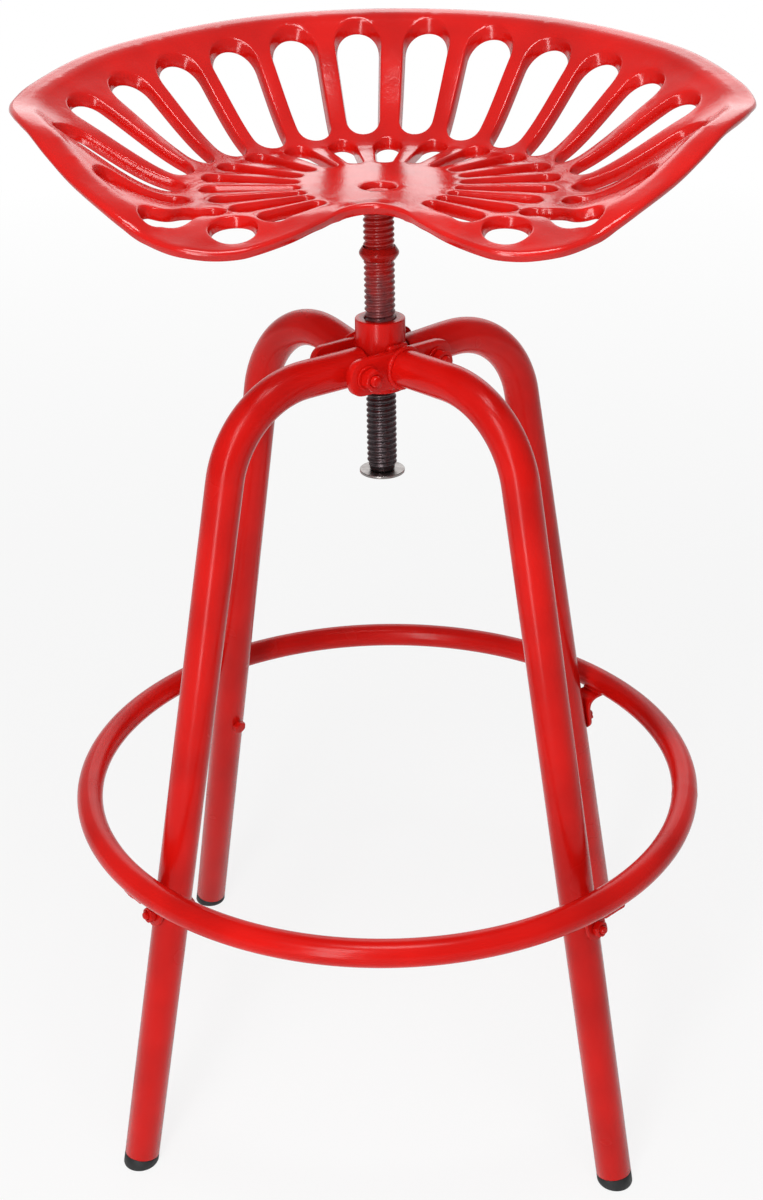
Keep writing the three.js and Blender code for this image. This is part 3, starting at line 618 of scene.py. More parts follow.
LEG_RUN_END = np.array([LEG_CORNER_REACH, 0, LEG_RUN_HEIGHT])
LEG_FOOT = np.array([LEG_FOOT_REACH, 0, 0])
LEG_UP = unit(LEG_RUN_END - LEG_FOOT)
LEG_OUT = np.array([LEG_UP[2], 0, -LEG_UP[0]])


def leg_matrix(place):
    return Matrix.Rotation(LEG_TURNS[place], 4, "Z")


def leg_axis(height):
    """The point of a leg's axis at a height, in its own plane"""
    return LEG_FOOT + LEG_UP * (height / LEG_UP[2])


def leg_path(start, rise=0.0):
    """Centre line of a leg from a reach on its run down to its cap, with its bend pulled up by a rise"""
    inward = np.array([1.0, 0, 0])
    down = -LEG_UP
    turn = acos(inward @ down)
    reach = LEG_BEND_RADIUS * tan(turn / 2)
    side = unit(down - (down @ inward) * inward)
    bend_start = LEG_RUN_END - inward * reach
    centre = bend_start + side * LEG_BEND_RADIUS
    shares = np.arange(31) / 30
    bend = [centre + LEG_BEND_RADIUS * (inward * sin(turn * t) - side * cos(turn * t)) for t in shares]
    run = [np.array([x, 0, LEG_RUN_HEIGHT]) for x in np.linspace(start, bend_start[0], 12)[:-1]]
    lifts = [rise * smooth(t) for t in np.linspace(0, 1, 12)[:-1]]
    lifts += [rise * cos(pi / 2 * t) ** 2 for t in shares]
    path = [point + (0, 0, lift) for point, lift in zip(run + bend, lifts)]
    return [*path, LEG_FOOT + LEG_UP * CAP_HEIGHT]


def strap_face_at(y, lift):
    """How far out a point at y lies that is lifted off the strap's face, in a welded leg's own frame"""
    return (STRAP_FACE + lift + y * sin(STRAP_SKEW)) / cos(STRAP_SKEW)


def leg_skin(place):
    """A bent tube with its wall, cut square by the hub or to the face of a strap"""
    count = 48
    clamped = place in CLAMPED_LEGS
    start = HUB_RADIUS + 2 * MM if clamped else STRAP_FACE + GAP
    path = leg_path(start, BEND_RISES[place])
    outer, inner = (sweep(path, radius, count, flat=(0, 1, 0))[0].reshape(len(path), count, 3)
                    for radius in (LEG_RADIUS, LEG_RADIUS - LEG_WALL))
    lip = 0.5 * MM
    if not clamped:
        for rings in (outer, inner):
            rings[0][:, 0] = strap_face_at(rings[0][:, 1], GAP)
    last = outer[-1]
    middle = last.mean(axis=0)
    lips = [middle + (last - middle) * (1 - cut * lip / LEG_RADIUS) + LEG_UP * up * lip
            for cut, up in ((0, 1), (1 / 3, 1 / 3), (1, 0))]
    return loft([*outer[:-1], *lips, *inner[::-1]], closed=True)


def cap_skin():
    """A plug's head under the tube and its stem inside, cut level where it stands"""
    count = 48
    edge = 1.1 * MM
    top = LEG_FOOT + LEG_UP * (CAP_HEIGHT - GAP)
    side = np.array([0, 1.0, 0])
    plan = circle(count)

    def ring_at(centre, radius):
        return centre + radius * (plan[:, :1] * side + plan[:, 1:] * LEG_OUT)

    def on_level(radius, height):
        ring = ring_at(LEG_FOOT, radius)
        return ring + LEG_UP * ((height - ring[:, 2]) / LEG_UP[2])[:, None]

    stem = LEG_RADIUS - LEG_WALL - GAP
    levels = ((LEG_RADIUS - edge, 0), (LEG_RADIUS - edge * 0.3, edge * 0.3), (LEG_RADIUS, edge))
    rises = ((LEG_RADIUS, -edge * 0.5), (LEG_RADIUS - edge * 0.4, 0), (stem, 0), (stem, CAP_STEM - MM),
             (stem - MM, CAP_STEM))
    return loft([on_level(*level) for level in levels] + [ring_at(top + LEG_UP * up, r) for r, up in rises])


def base_weld_path(radius, lift):
    """A path round a welded leg's end, just off the face of its strap, in the leg's own frame"""
    plan = circle(90) * radius
    return np.column_stack([strap_face_at(plan[:, 0], lift), plan[:, 0], LEG_RUN_HEIGHT + plan[:, 1]])


# Foot ring and tabs

def ring_skin():
    """The foot ring's tube, with the ridge of its butt weld"""
    count = 32
    steps = 320
    rings = []
    for angle in around(steps):
        off = abs((angle - RING_SEAM_ANGLE + pi) % TURN - pi) * RING_RADIUS
        ridge = RING_SEAM_RIDGE * exp(-(off / RING_SEAM_WIDTH) ** 2)
        plan = circle(count) * (RING_TUBE_RADIUS - 0.02 * MM + ridge)
        reach = RING_RADIUS + plan[:, 0]
        height = RING_HEIGHT + plan[:, 1]
        rings.append(np.column_stack([reach * cos(angle), reach * sin(angle), height]))
    return loft(rings, closed=True)


TAB_DISTANCE = LEG_RADIUS + GAP + TAB_THICKNESS / 2
SHELF_HEIGHT = RING_HEIGHT - RING_TUBE_RADIUS - GAP - TAB_THICKNESS / 2


def tab_skin():
    """A strip from under the ring, bent down flat along the leg, with a round lower end"""
    corner_x = leg_axis(SHELF_HEIGHT)[0] + TAB_DISTANCE / LEG_UP[2]
    bolt = leg_axis(RING_BOLT_HEIGHT) + LEG_OUT * TAB_DISTANCE
    tip = np.array([RING_RADIUS + TAB_OVERLAP, 0, SHELF_HEIGHT])
    end = bolt - LEG_UP * TAB_DROP / 2
    corner = np.array([corner_x, 0, SHELF_HEIGHT])
    path = eased([tip, corner, end], TAB_BEND_RADIUS + TAB_THICKNESS / 2, 12)
    straight = end - path[-2]
    lobe = TAB_WIDTH / 2
    lobe_share = lobe / np.linalg.norm(straight)
    round_steps = np.sin(np.radians([0, 18, 36, 54, 72, 84, 90]))
    fine = path[:-1] + [path[-2] + straight * (1 - lobe_share * (1 - step)) for step in round_steps]
    rings = []
    half = TAB_THICKNESS / 2
    edge = 0.8 * MM
    for i, here in enumerate(fine):
        before = fine[max(i - 1, 0)]
        after = fine[min(i + 1, len(fine) - 1)]
        ahead = unit(after - before)
        across = np.cross(ahead, [0, 1.0, 0])
        from_bolt = np.linalg.norm(here - bolt) if (here - bolt) @ -LEG_UP > 0 else 0
        wide = sqrt(max(lobe ** 2 - from_bolt ** 2, (1.2 * MM) ** 2))
        soft = min(edge, wide / 2)
        outline = eased([(wide, -half), (wide, half), (-wide, half), (-wide, -half)], soft, 3, closed=True)
        rings.append(np.array([here + np.array([0, y, 0]) + across * t for y, t in outline]))
    return loft(rings)


# Straps and hub

def strap_skin(side):
    """A plate with rounded ends and broken edges, on one side of the hub"""
    half = STRAP_LENGTH / 2
    tall = STRAP_DEPTH / 2
    edge = 1 * MM
    rings = []
    near = [(edge, 0), (edge * 0.3, edge * 0.3), (0, edge)]
    for inset, depth in near + [(inset, STRAP_THICKNESS - depth) for inset, depth in reversed(near)]:
        wide, high = half - inset, tall - inset
        corners = [(wide, high), (-wide, high), (-wide, -high), (wide, -high)]
        outline = eased(corners, STRAP_CORNER - inset, 12, closed=True)
        y = side * (STRAP_BACK + depth)
        rings.append(np.array([(x, y, LEG_RUN_HEIGHT + z) for x, z in outline]))
    return loft(rings)


# Screw

def thread_skin(pitch, depth):
    """A right-hand rounded thread, its flat top, and the plain neck and blind hole at its foot"""
    count = 48
    bottom = SCREW_BOTTOM + SCREW_NECK_LENGTH
    top = PAN_HEIGHT - SCREW_RECESS
    per_turn = 9
    hole = END_SCREW_RADIUS + GAP
    hole_top = SCREW_BOTTOM + END_HOLE_DEPTH
    edge = 0.8 * MM
    rings = [level_ring(r, h, count) for r, h in (
        (0.3 * MM, hole_top), (hole, hole_top), (hole, SCREW_BOTTOM), (SCREW_NECK_RADIUS - edge, SCREW_BOTTOM),
        (SCREW_NECK_RADIUS, SCREW_BOTTOM + edge), (SCREW_NECK_RADIUS, bottom - edge / 2))]
    steps = int((top - bottom) / pitch * per_turn)
    for step in range(steps + 1):
        height = bottom + (top - bottom) * step / steps
        wave = 0.5 + 0.5 * np.cos((height / pitch) * TURN - around(count))
        runout = min(1, (height - bottom) / RUNOUT_FOOT, (top - height) / RUNOUT_TOP + 0.3)
        rings.append(level_ring(SCREW_RADIUS - depth + depth * wave ** 0.75 * runout, height, count))
    rings += [level_ring(radius, top, count) for radius in (SCREW_RADIUS - depth - edge, 2 * MM)]
    return loft(rings)


# Seat

def rim_points(seat, steps=40):
    """The closed rim, drawn by a centripetal Catmull-Rom curve through the shares and their mirror image"""
    scale = np.array([seat.half_width, seat.half_width, seat.rim_rise])
    right = np.array(RIM_SHARES) * scale
    left = (right * (-1, 1, 1))[-2:0:-1]
    knots = np.concatenate([right, left])
    total = len(knots)
    out = []
    for i in range(total):
        a, b, c, d = (knots[(i + k) % total] for k in (-1, 0, 1, 2))
        ab, bc, cd = (np.linalg.norm(q - p) ** 0.5 for p, q in ((a, b), (b, c), (c, d)))
        start = ((b - a) / ab - (c - a) / (ab + bc) + (c - b) / bc) * bc
        stop = ((c - b) / bc - (d - b) / (bc + cd) + (d - c) / cd) * bc
        t = (np.arange(steps) / steps)[:, None]
        square, cube = 3 * (c - b) - 2 * start - stop, 2 * (b - c) + start + stop
        out.append(b + start * t + square * t ** 2 + cube * t ** 3)
    return np.concatenate(out)


class SeatForm:
    """The seat's top face as a height over the plan, dished up from a flat pan to the rim"""

    def __init__(self, seat):
        self.seat = seat
        self.rim = rim_points(seat)
        half = self.rim[:len(self.rim) // 2 + 1]
        self.angles = np.arctan2(np.maximum(half[:, 0], 0), half[:, 1])
        self.reaches = np.hypot(half[:, 0], half[:, 1])
        self.rises = half[:, 2]

    def top(self, plan, bordered=False):
        x, y = plan[:, 0], plan[:, 1]
        angle = np.arctan2(np.abs(x), y)
        rim = np.interp(angle, self.angles, self.reaches)
        rise = np.interp(angle, self.angles, self.rises)
        degrees = np.degrees(angle)
        row = np.clip(np.searchsorted(DISH_START_ANGLES, degrees, "right"), 1, len(DISH_START_ANGLES) - 1)
        low, high = np.array(DISH_START_ANGLES)[[row - 1, row]]
        passed = np.clip((degrees - low) / (high - low), 0, 1)
        near, far = np.array(DISH_START_SHARES)[[row - 1, row]]
        reach = near + (far - near) * smooth(passed)
        start = np.minimum(reach * self.seat.half_width, DISH_LIMIT_SHARE * rim)
        share = np.clip((np.hypot(x, y) - start) / (rim - start), 0, 1)
        face = PAN_HEIGHT + rise * smooth(share)
        if not bordered:
            return face
        away = rim - np.hypot(x, y)
        fall = smooth(np.clip((away - BORDER_WIDTH) / BORDER_FOOT, 0, 1))
        step = np.clip(away / BORDER_WIDTH, 0, 1) ** 2 * (1 - fall)
        return face + BORDER_STEP * step * np.clip(2 * rise / self.seat.rim_rise, 0, 1)

    def depth(self, plan):
        """The casting's depth straight down, so that it is evenly thick along its slope"""
        step = 1 * MM
        moves = ((step, 0), (0, step))
        slopes = [(self.top(plan + move) - self.top(plan - move)) / (2 * step) for move in moves]
        return self.seat.thickness * np.sqrt(1 + slopes[0] ** 2 + slopes[1] ** 2)


def spaced(loop, spacing):
    """A closed outline with its points evenly spaced"""
    ring = np.concatenate([loop, loop[:1]])
    travel = np.concatenate([[0], np.cumsum(np.linalg.norm(np.diff(ring, axis=0), axis=1))])
    wanted = np.linspace(0, travel[-1], max(int(round(travel[-1] / spacing)), 12), endpoint=False)
    return np.stack([np.interp(wanted, travel, ring[:, axis]) for axis in range(2)], 1)


def shifted(loop, distance):
    """An anticlockwise outline moved outward by a distance"""
    ahead = np.roll(loop, -1, 0) - np.roll(loop, 1, 0)
    ahead /= np.linalg.norm(ahead, axis=1)[:, None]
    return loop + distance * np.column_stack([ahead[:, 1], -ahead[:, 0]])


def slot_outline(inner, outer, inner_width, outer_width, sway=0.0):
    """A slot with round ends along +X that flares outward, and may sway from side to side"""
    near, far = inner_width / 2, outer_width / 2
    start, stop = inner + near, outer - far
    flare = asin((far - near) / (stop - start))
    share = np.linspace(0, 1, 30)[1:-1]
    half = (near + (far - near) * share) / cos(flare)
    middle = start + (stop - start) * share
    wave = sway * np.sin(TURN * share)
    back = np.linspace(pi / 2 + flare, 1.5 * pi - flare, 24)
    front = np.linspace(-pi / 2 - flare, pi / 2 + flare, 36)
    parts = [
        (start + near * np.cos(back), near * np.sin(back)),
        (middle, wave - half),
        (stop + far * np.cos(front), far * np.sin(front)),
        (middle[::-1], (wave + half)[::-1]),
    ]
    return np.concatenate([np.column_stack(part) for part in parts])


def pointed(loop, angle, mirrored=False):
    """An outline turned from +X to an angle from the back round to the right, or mirrored to the left"""
    turn = pi / 2 - angle
    x = loop[:, 0] * cos(turn) - loop[:, 1] * sin(turn)
    y = loop[:, 0] * sin(turn) + loop[:, 1] * cos(turn)
    return np.column_stack([-x, y])[::-1] if mirrored else np.column_stack([x, y])


def seat_holes(seat):
    """Every slot and hole of the pan as an anticlockwise outline"""
    half = seat.half_width
    holes = []
    for degrees, inner, outer, narrow, wide in [*OUTER_SLOTS, WAVY_SLOT]:
        sway = WAVY_SWAY if degrees == WAVY_SLOT[0] else 0.0
        outline = slot_outline(inner * half, outer * half, narrow, wide, sway)
        angle = radians(degrees)
        holes += [spaced(pointed(outline, angle, mirrored), SLOT_SPACING) for mirrored in (False, True)]
    for slot, inner in enumerate(INNER_SHARES):
        angle = slot * INNER_PITCH
        across = INNER_OFFSET_SHARE * sin(angle)
        outer = INNER_OFFSET_SHARE * cos(angle) + sqrt(INNER_RING_SHARE ** 2 - across ** 2)
        outline = slot_outline(inner * half, min(outer, INNER_LIMIT_SHARE) * half, *INNER_WIDTHS)
        sides = (False, True) if slot else (False,)
        holes += [spaced(pointed(outline, angle, mirrored), INNER_SPACING) for mirrored in sides]
    holes.append(circle(48) * CENTRE_HOLE_RADIUS)
    across, back = (share * half for share in LOBE_HOLE_SHARES)
    holes += [circle(64) * LOBE_HOLE_RADIUS + (side * across, back) for side in (-1, 1)]
    return holes


def inside(points, loop):
    """Which points lie within a closed outline"""
    hit = np.zeros(len(points), bool)
    low, high = loop.min(0), loop.max(0)
    near = np.flatnonzero(((points > low) & (points < high)).all(1))
    x, y = points[near, 0], points[near, 1]
    odd = np.zeros(len(near), bool)
    for (x0, y0), (x1, y1) in zip(loop, np.roll(loop, -1, 0)):
        if y0 != y1:
            odd ^= ((y0 > y) != (y1 > y)) & (x < (x1 - x0) * (y - y0) / (y1 - y0) + x0)
    hit[near] = odd
    return hit


def within(points, rim, holes):
    """Which points lie on the casting, inside its rim and outside its holes"""
    keep = inside(points, rim)
    for hole in holes:
        keep &= ~inside(points, hole)
    return keep


def clear_of(points, edges, distance):
    """Which points lie further than a distance from every edge point"""
    keep = np.ones(len(points), bool)
    for start in range(0, len(points), 500):
        block = points[start:start + 500]
        gap = ((block[:, None] - edges[None]) ** 2).sum(2).min(1)
        keep[start:start + 500] = gap > distance ** 2
    return keep


def skin_between(rim, holes, rim_round, edge_round, grid, rows=()):
    """Triangles over the plan between the rim and the holes, with rows along each edge that round it.

    More rows of points may follow the rim at given distances inside it. It gives the plan points, how far
    each lies under the plain face, the triangles, and the edge points' numbers"""
    rounding = np.radians([0, 30, 60, 90])
    points, drops, edges, starts = [], [], [], []
    count = 0
    for number, loop in enumerate([rim, *holes]):
        radius, way = (rim_round, -1) if number == 0 else (edge_round, 1)
        starts.append((count, len(loop)))
        for angle in rounding:
            points.append(shifted(loop, way * radius * (1 - cos(angle))))
            drops.append(np.full(len(loop), radius * (1 - sin(angle))))
            edges += [(count + i, count + (i + 1) % len(loop)) for i in range(len(loop))]
            count += len(loop)
    marks = np.concatenate(points)
    low, high = rim.min(0), rim.max(0)
    fill = np.array([(x, y) for line, y in enumerate(np.arange(low[1], high[1], grid * 0.87))
                     for x in np.arange(low[0] + (line % 2) * grid / 2, high[0], grid)])
    border = np.concatenate([np.zeros((0, 2)), *(shifted(rim, -distance) for distance in rows)])
    border = border[clear_of(border, marks, ROW_GAP)]
    fill = fill[clear_of(fill, np.concatenate([marks, border]), grid * 0.55)]
    fill = np.concatenate([border, fill])
    fill = fill[within(fill, rim, holes)]
    plan = np.concatenate([marks, fill])
    drop = np.concatenate([*drops, np.zeros(len(fill))])
    made = delaunay_2d_cdt([Vector(p) for p in (plan / MM).tolist()], edges, [], 0, 1e-5)
    verts = np.array([tuple(v) for v in made[0]]) * MM
    origin = [old[0] if old else 0 for old in made[3]]
    triangles = np.array([tuple(face) for face in made[2]])
    triangles = triangles[within(verts[triangles].mean(1), rim, holes)]
    number_of = {old: new for new, olds in enumerate(made[3]) for old in olds}
    loops = [[number_of[start + i] for i in range(length_of)] for start, length_of in starts]
    return verts, drop[origin], triangles, loops


def seat_skin(seat):
    """The whole casting: a rounded top face, an underside set in by the draft, and the walls between them"""
    form = SeatForm(seat)
    rim = spaced(form.rim[:, :2], RIM_SPACING)
    if (np.roll(rim, -1, 0)[:, 1] * rim[:, 0] - np.roll(rim, -1, 0)[:, 0] * rim[:, 1]).sum() < 0:
        rim = rim[::-1]
    holes = seat_holes(seat)
    draft = seat.slot_draft / 2
    rows = [BORDER_WIDTH * share for share in (1 / 3, 2 / 3, 1)]
    rows += [BORDER_WIDTH + BORDER_FOOT * share for share in (0.5, 1)]
    wide = [shifted(hole, draft) for hole in holes]
    plan, drop, top_faces, top_loops = skin_between(rim, wide, seat.rim_round, seat.edge_round, seat.grid, rows)
    rough = [noise.noise(Vector((x * CAST_WAVES, y * CAST_WAVES, 3))) for x, y in plan.tolist()]
    top = np.column_stack([plan, form.top(plan, True) - drop - np.abs(np.array(rough) * CAST_WAVE_DEPTH)])
    rim = shifted(rim, -seat.rim_draft)
    narrow = [shifted(hole, -draft) for hole in holes]
    under = seat.under_round
    plan, drop, low_faces, low_loops = skin_between(rim, narrow, under, under, seat.grid * 1.4)
    bottom = np.column_stack([plan, form.top(plan) - form.depth(plan) + drop])
    faces = [tuple(face) for face in top_faces.tolist()]
    faces += [tuple(i + len(top) for i in reversed(face)) for face in low_faces.tolist()]
    for high, low in zip(top_loops, low_loops):
        for i, j in zip(range(len(high)), [*range(1, len(high)), 0]):
            faces.append((high[i], high[j], low[j] + len(top), low[i] + len(top)))
    return np.concatenate([top, bottom]), faces


# Operators, one for each piece or group of like pieces

def cross_frame():
    """The frame whose X runs along the two clamped legs toward the back right"""
    return Matrix.Rotation(LEG_ANGLE + BASE_TURN, 4, "Z")


class StoolMaker:
    """What the operators share: each one makes its pieces and says that it is done"""
    bl_options = {"REGISTER", "UNDO"}

    def execute(self, context):
        self.make(context.scene)
        return {"FINISHED"}


class STOOL_OT_seat(StoolMaker, bpy.types.Operator):
    """Make the slotted cast seat pan"""
    bl_idname = "stool.seat"
    bl_label = "Seat pan"

    def make(self, scene):
        piece("seat_casting", [seat_skin(scene.stool_seat)], ["seat"], 75, "enamelled_casting", "swivel")


class STOOL_OT_screw(StoolMaker, bpy.types.Operator):
    """Make the threaded jack screw"""
    bl_idname = "stool.screw"
    bl_label = "Jack screw"

    def make(self, scene):
        thread = thread_skin(scene.stool_thread.pitch, scene.stool_thread.depth)
        piece("jack_screw_thread", [thread], ["jack_screw"], 60, "dark_steel", "swivel")


class STOOL_OT_collars(StoolMaker, bpy.types.Operator):
    """Make the stop collar, the collar under the seat and the welds that hold them and the screw's end"""
    bl_idname = "stool.collars"
    bl_label = "Collars"

    def make(self, scene):
        middle = STOP_BOTTOM + STOP_LENGTH / 2
        bore = SCREW_RADIUS + GAP
        upper = [(STOP_RADIUS, STOP_SHOULDER / 3), (STOP_RADIUS - 0.9 * MM, STOP_SHOULDER),
                 (bore + 0.4 * MM, STOP_LENGTH / 2), (bore, STOP_LENGTH / 2)]
        ring = [(r, middle - h) for r, h in reversed(upper)] + [(r, middle + h) for r, h in upper]
        piece("stop_collar_ring", [turned(ring, 0.5 * MM, closed=True)], ["stop_collar"], body="swivel")
        high = PAN_HEIGHT - scene.stool_seat.thickness - GAP
        low = high - SEAT_COLLAR_THICKNESS
        plate = sleeve(bore, SEAT_COLLAR_RADIUS, low, high, 1 * MM)
        piece("seat_collar_plate", [plate], ["seat_collar"], body="swivel")
        below = level_ring(SCREW_RADIUS + 1.2 * MM, low - 0.9 * MM, 80)
        outside = level_ring(SEAT_COLLAR_RADIUS - 0.6 * MM, high - 0.8 * MM, 96)
        beads = [bead(below, 1.9 * MM, closed=True), bead(outside, 1.4 * MM, seed=2, closed=True)]
        welded("seat_collar_welds", beads, body="swivel")
        face = PAN_HEIGHT - SCREW_RECESS
        plug = turned([(r * MM, face + rise * MM) for r, rise in END_WELD], 0.4 * MM, count=48)
        welded("screw_end_weld", [plug], slot="enamelled_casting", body="swivel")


class STOOL_OT_end_stop(StoolMaker, bpy.types.Operator):
    """Make the plated disc under the screw and the screw that holds it"""
    bl_idname = "stool.end_stop"
    bl_label = "End disc"

    def make(self, scene):
        high = SCREW_BOTTOM - GAP
        low = high - DISC_THICKNESS
        disc = sleeve(END_SCREW_RADIUS + GAP, DISC_RADIUS, low, high, 0.5 * MM)
        piece("end_disc_plate", [disc], ["end_disc"], 30, "bright_zinc", "lift")
        head_top = low - GAP
        head_low = head_top - END_HEAD_HEIGHT
        socket = hex_radii(END_SOCKET, END_SOCKET)
        rings = [(0.3 * MM, head_low + 2 * MM), (socket, head_low + 2 * MM), (socket, head_low + 0.2 * MM),
                 (hex_radii(END_SOCKET + 0.4 * MM, END_SOCKET), head_low)]
        rings += [(END_HEAD_RADIUS * r, head_low + END_HEAD_HEIGHT * h) for r, h in END_HEAD_SHARES]
        tip = SCREW_BOTTOM + END_SCREW_LENGTH
        rings += [(END_SCREW_RADIUS, head_top), (END_SCREW_RADIUS, tip - MM), (MM, tip)]
        screw = loft([level_ring(radii, height, HEX_COUNT) for radii, height in rings])
        piece("end_screw_round_head", [screw], ["end_screw"], 30, "bright_zinc", "lift")


class STOOL_OT_hub(StoolMaker, bpy.types.Operator):
    """Make the hub tube, its two straps and the welds between them"""
    bl_idname = "stool.hub"
    bl_label = "Hub and straps"

    def make(self, scene):
        hub = sleeve(HUB_BORE_RADIUS, HUB_RADIUS, HUB_BOTTOM, HUB_TOP, 1 * MM)
        piece("hub_tube_turned", [hub], ["hub_tube"], 30)
        beads = []
        for side, name in ((-1, "strap_front"), (1, "strap_rear")):
            piece(f"{name}_plate", [strap_skin(side)], [name], 30, home=cross_frame())
            xs = np.linspace(-STRAP_BEAD_HALF, STRAP_BEAD_HALF, 12)
            ys = side * (np.sqrt(HUB_RADIUS ** 2 - (xs * 0.75) ** 2) + STRAP_BEAD_OFF)
            for level in (1, -1):
                z = LEG_RUN_HEIGHT + level * (STRAP_DEPTH / 2 + LEG_BEAD_LIFT)
                beads.append(bead([(x, y, z) for x, y in zip(xs, ys)], STRAP_BEAD, seed=side + level))
            y = side * (STRAP_BACK - HUB_BEAD_OFF)
            zs = [LEG_RUN_HEIGHT + share * STRAP_DEPTH / 2 for share in (-0.9, 0, 0.9)]
            beads += [bead([(end * HUB_BEAD_REACH, y, z) for z in zs], BEAD, seed=3 * end) for end in (-1, 1)]
        welded("hub_welds", beads, home=cross_frame())


def fasten(kind, place, bolt, axis, spin, head_face, nut_face, washer=None):
    """A hexagon bolt through a joint and its nut, turned about their axis by some degrees, and any washer"""
    turn = axis @ Matrix.Rotation(radians(spin), 4, "Z")
    nut_back = nut_face + bolt.nut
    head = placed(hexagon(bolt.flats, head_face, head_face + bolt.head, both=False), turn)
    rod = placed(shank(bolt.radius, -nut_back - bolt.tail, head_face + bolt.head / 2), axis)
    piece(f"{kind}_bolt_{place}_hex", [head, rod], [f"{kind}_bolt_{place}"], 32)
    if washer:
        piece(f"{kind}_washer_{place}_round", [washer], [f"{kind}_washer_{place}"], 32, home=axis)
    nut = placed(hexagon(bolt.flats, -nut_back, -nut_face, bolt.radius + NUT_CLEARANCE), turn)
    piece(f"{kind}_nut_{place}_hex", [nut], [f"{kind}_nut_{place}"], 32)


class STOOL_OT_hub_fasteners(StoolMaker, bpy.types.Operator):
    """Make the bolts, washers and nuts that clamp two of the legs"""
    bl_idname = "stool.hub_fasteners"
    bl_label = "Hub fasteners"

    def make(self, scene):
        face = STRAP_FACE + GAP
        back = face + HUB_WASHER_THICKNESS
        washer = sleeve(HUB_BOLT.radius + NUT_CLEARANCE, HUB_WASHER_RADIUS, -back, -face, 0.5 * MM)
        for place, end in CLAMPED_LEGS.items():
            axis = cross_frame() @ along((end * HUB_BOLT_REACH, 0, LEG_RUN_HEIGHT), (0, 1, 0))
            fasten("hub", place, HUB_BOLT, axis, 17 * end, face, back + GAP, washer)
            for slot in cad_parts[f"leg_bush_{place}"].material_slots:
                slot.material = finish_for("red_enamel")


class STOOL_OT_legs(StoolMaker, bpy.types.Operator):
    """Make the four bent tube legs, and the welds round the two that end on a strap"""
    bl_idname = "stool.legs"
    bl_label = "Legs"

    def make(self, scene):
        for place in LEG_TURNS:
            home = leg_matrix(place)
            piece(f"leg_{place}_tube", [leg_skin(place)], [f"leg_{place}"], 30, home=home)
            if place not in CLAMPED_LEGS:
                path = base_weld_path(LEG_RADIUS + LEG_BEAD_LIFT, LEG_BEAD_LIFT)
                welded(f"leg_{place}_weld", [bead(path, BEAD, seed=len(place), closed=True)], home=home)


class STOOL_OT_foot_caps(StoolMaker, bpy.types.Operator):
    """Make the rubber caps under the legs"""
    bl_idname = "stool.foot_caps"
    bl_label = "Foot caps"

    def make(self, scene):
        for place in LEG_TURNS:
            piece(f"foot_cap_{place}_moulded", [cap_skin()], [f"foot_cap_{place}"], slot="black_rubber",
                  home=leg_matrix(place))


class STOOL_OT_foot_ring(StoolMaker, bpy.types.Operator):
    """Make the foot ring"""
    bl_idname = "stool.foot_ring"
    bl_label = "Foot ring"

    def make(self, scene):
        piece("foot_ring_tube", [ring_skin()], ["foot_ring"])


class STOOL_OT_ring_tabs(StoolMaker, bpy.types.Operator):
    """Make the bent tabs under the foot ring, with their welds, bolts and nuts"""
    bl_idname = "stool.ring_tabs"
    bl_label = "Ring tabs and bolts"

    def make(self, scene):
        face = LEG_RADIUS + GAP
        for number, place in enumerate(LEG_TURNS):
            home = leg_matrix(place)
            piece(f"ring_tab_{place}_strip", [tab_skin()], [f"ring_tab_{place}"], home=home)
            axis = home @ along(leg_axis(RING_BOLT_HEIGHT), -LEG_OUT)
            fasten("ring", place, RING_BOLT, axis, 13 + 11 * number, face, face + TAB_THICKNESS + GAP)
            beads = []
            z = RING_HEIGHT - RING_TUBE_RADIUS + 0.6 * MM
            for side in (-1, 1):
                x = RING_RADIUS + side * TAB_BEAD_REACH
                beads.append(bead([(x, end * TAB_BEAD_HALF, z) for end in (-1, 1)], BEAD, seed=number + side))
            welded(f"ring_tab_{place}_weld", beads, home=home)


# Stage

FLOOR_HALF = 8.0
FLOOR_DROP = 0.2 * MM
# The light panels: the property with their power, width and height, place, and the height they face
PANELS = {
    "back_panel": ("back_light", (2.6, 1.2), (0.1, 2.6, 1.75), PAN_HEIGHT),
    "key_panel": ("key_light", (0.7, 0.6), (-0.6, -1.9, 2.1), 0.4),
    "top_panel": ("top_light", (0.5, 0.4), (0.05, -0.42, 1.9), PAN_HEIGHT),
    "streak_panel": ("streak_light", (0.18, 2.0), (-0.3, -1.2, 1.0), 1.0),
}


def panel(name, watts, size, place, height):
    """A soft light panel that faces a height on the stool's axis and that the camera doesn't see"""
    data = bpy.data.lights.new(name, "AREA")
    data.shape = "RECTANGLE"
    data.size, data.size_y = size
    data.energy = watts
    lamp = bpy.data.objects.new(name, data)
    lamp.location = place
    lamp.rotation_euler = (Vector((0, 0, height)) - Vector(place)).to_track_quat("-Z", "Y").to_euler()
    lamp.visible_camera = False
    bpy.context.scene.collection.objects.link(lamp)


def seen_directly(tree, mirrored=None):
    """1 for rays that show a surface straight, in a mirror or through glass, and 0 for the rest.

    A mirrored share can dim what the mirror shows"""
    path = add_node(tree, "ShaderNodeLightPath").outputs
    glossy = path["Is Glossy Ray"]
    if mirrored:
        glossy = combined(tree, "MULTIPLY", glossy, mirrored)
    shown = combined(tree, "MAXIMUM", path["Is Camera Ray"], glossy)
    return combined(tree, "MAXIMUM", shown, path["Is Transmission Ray"])


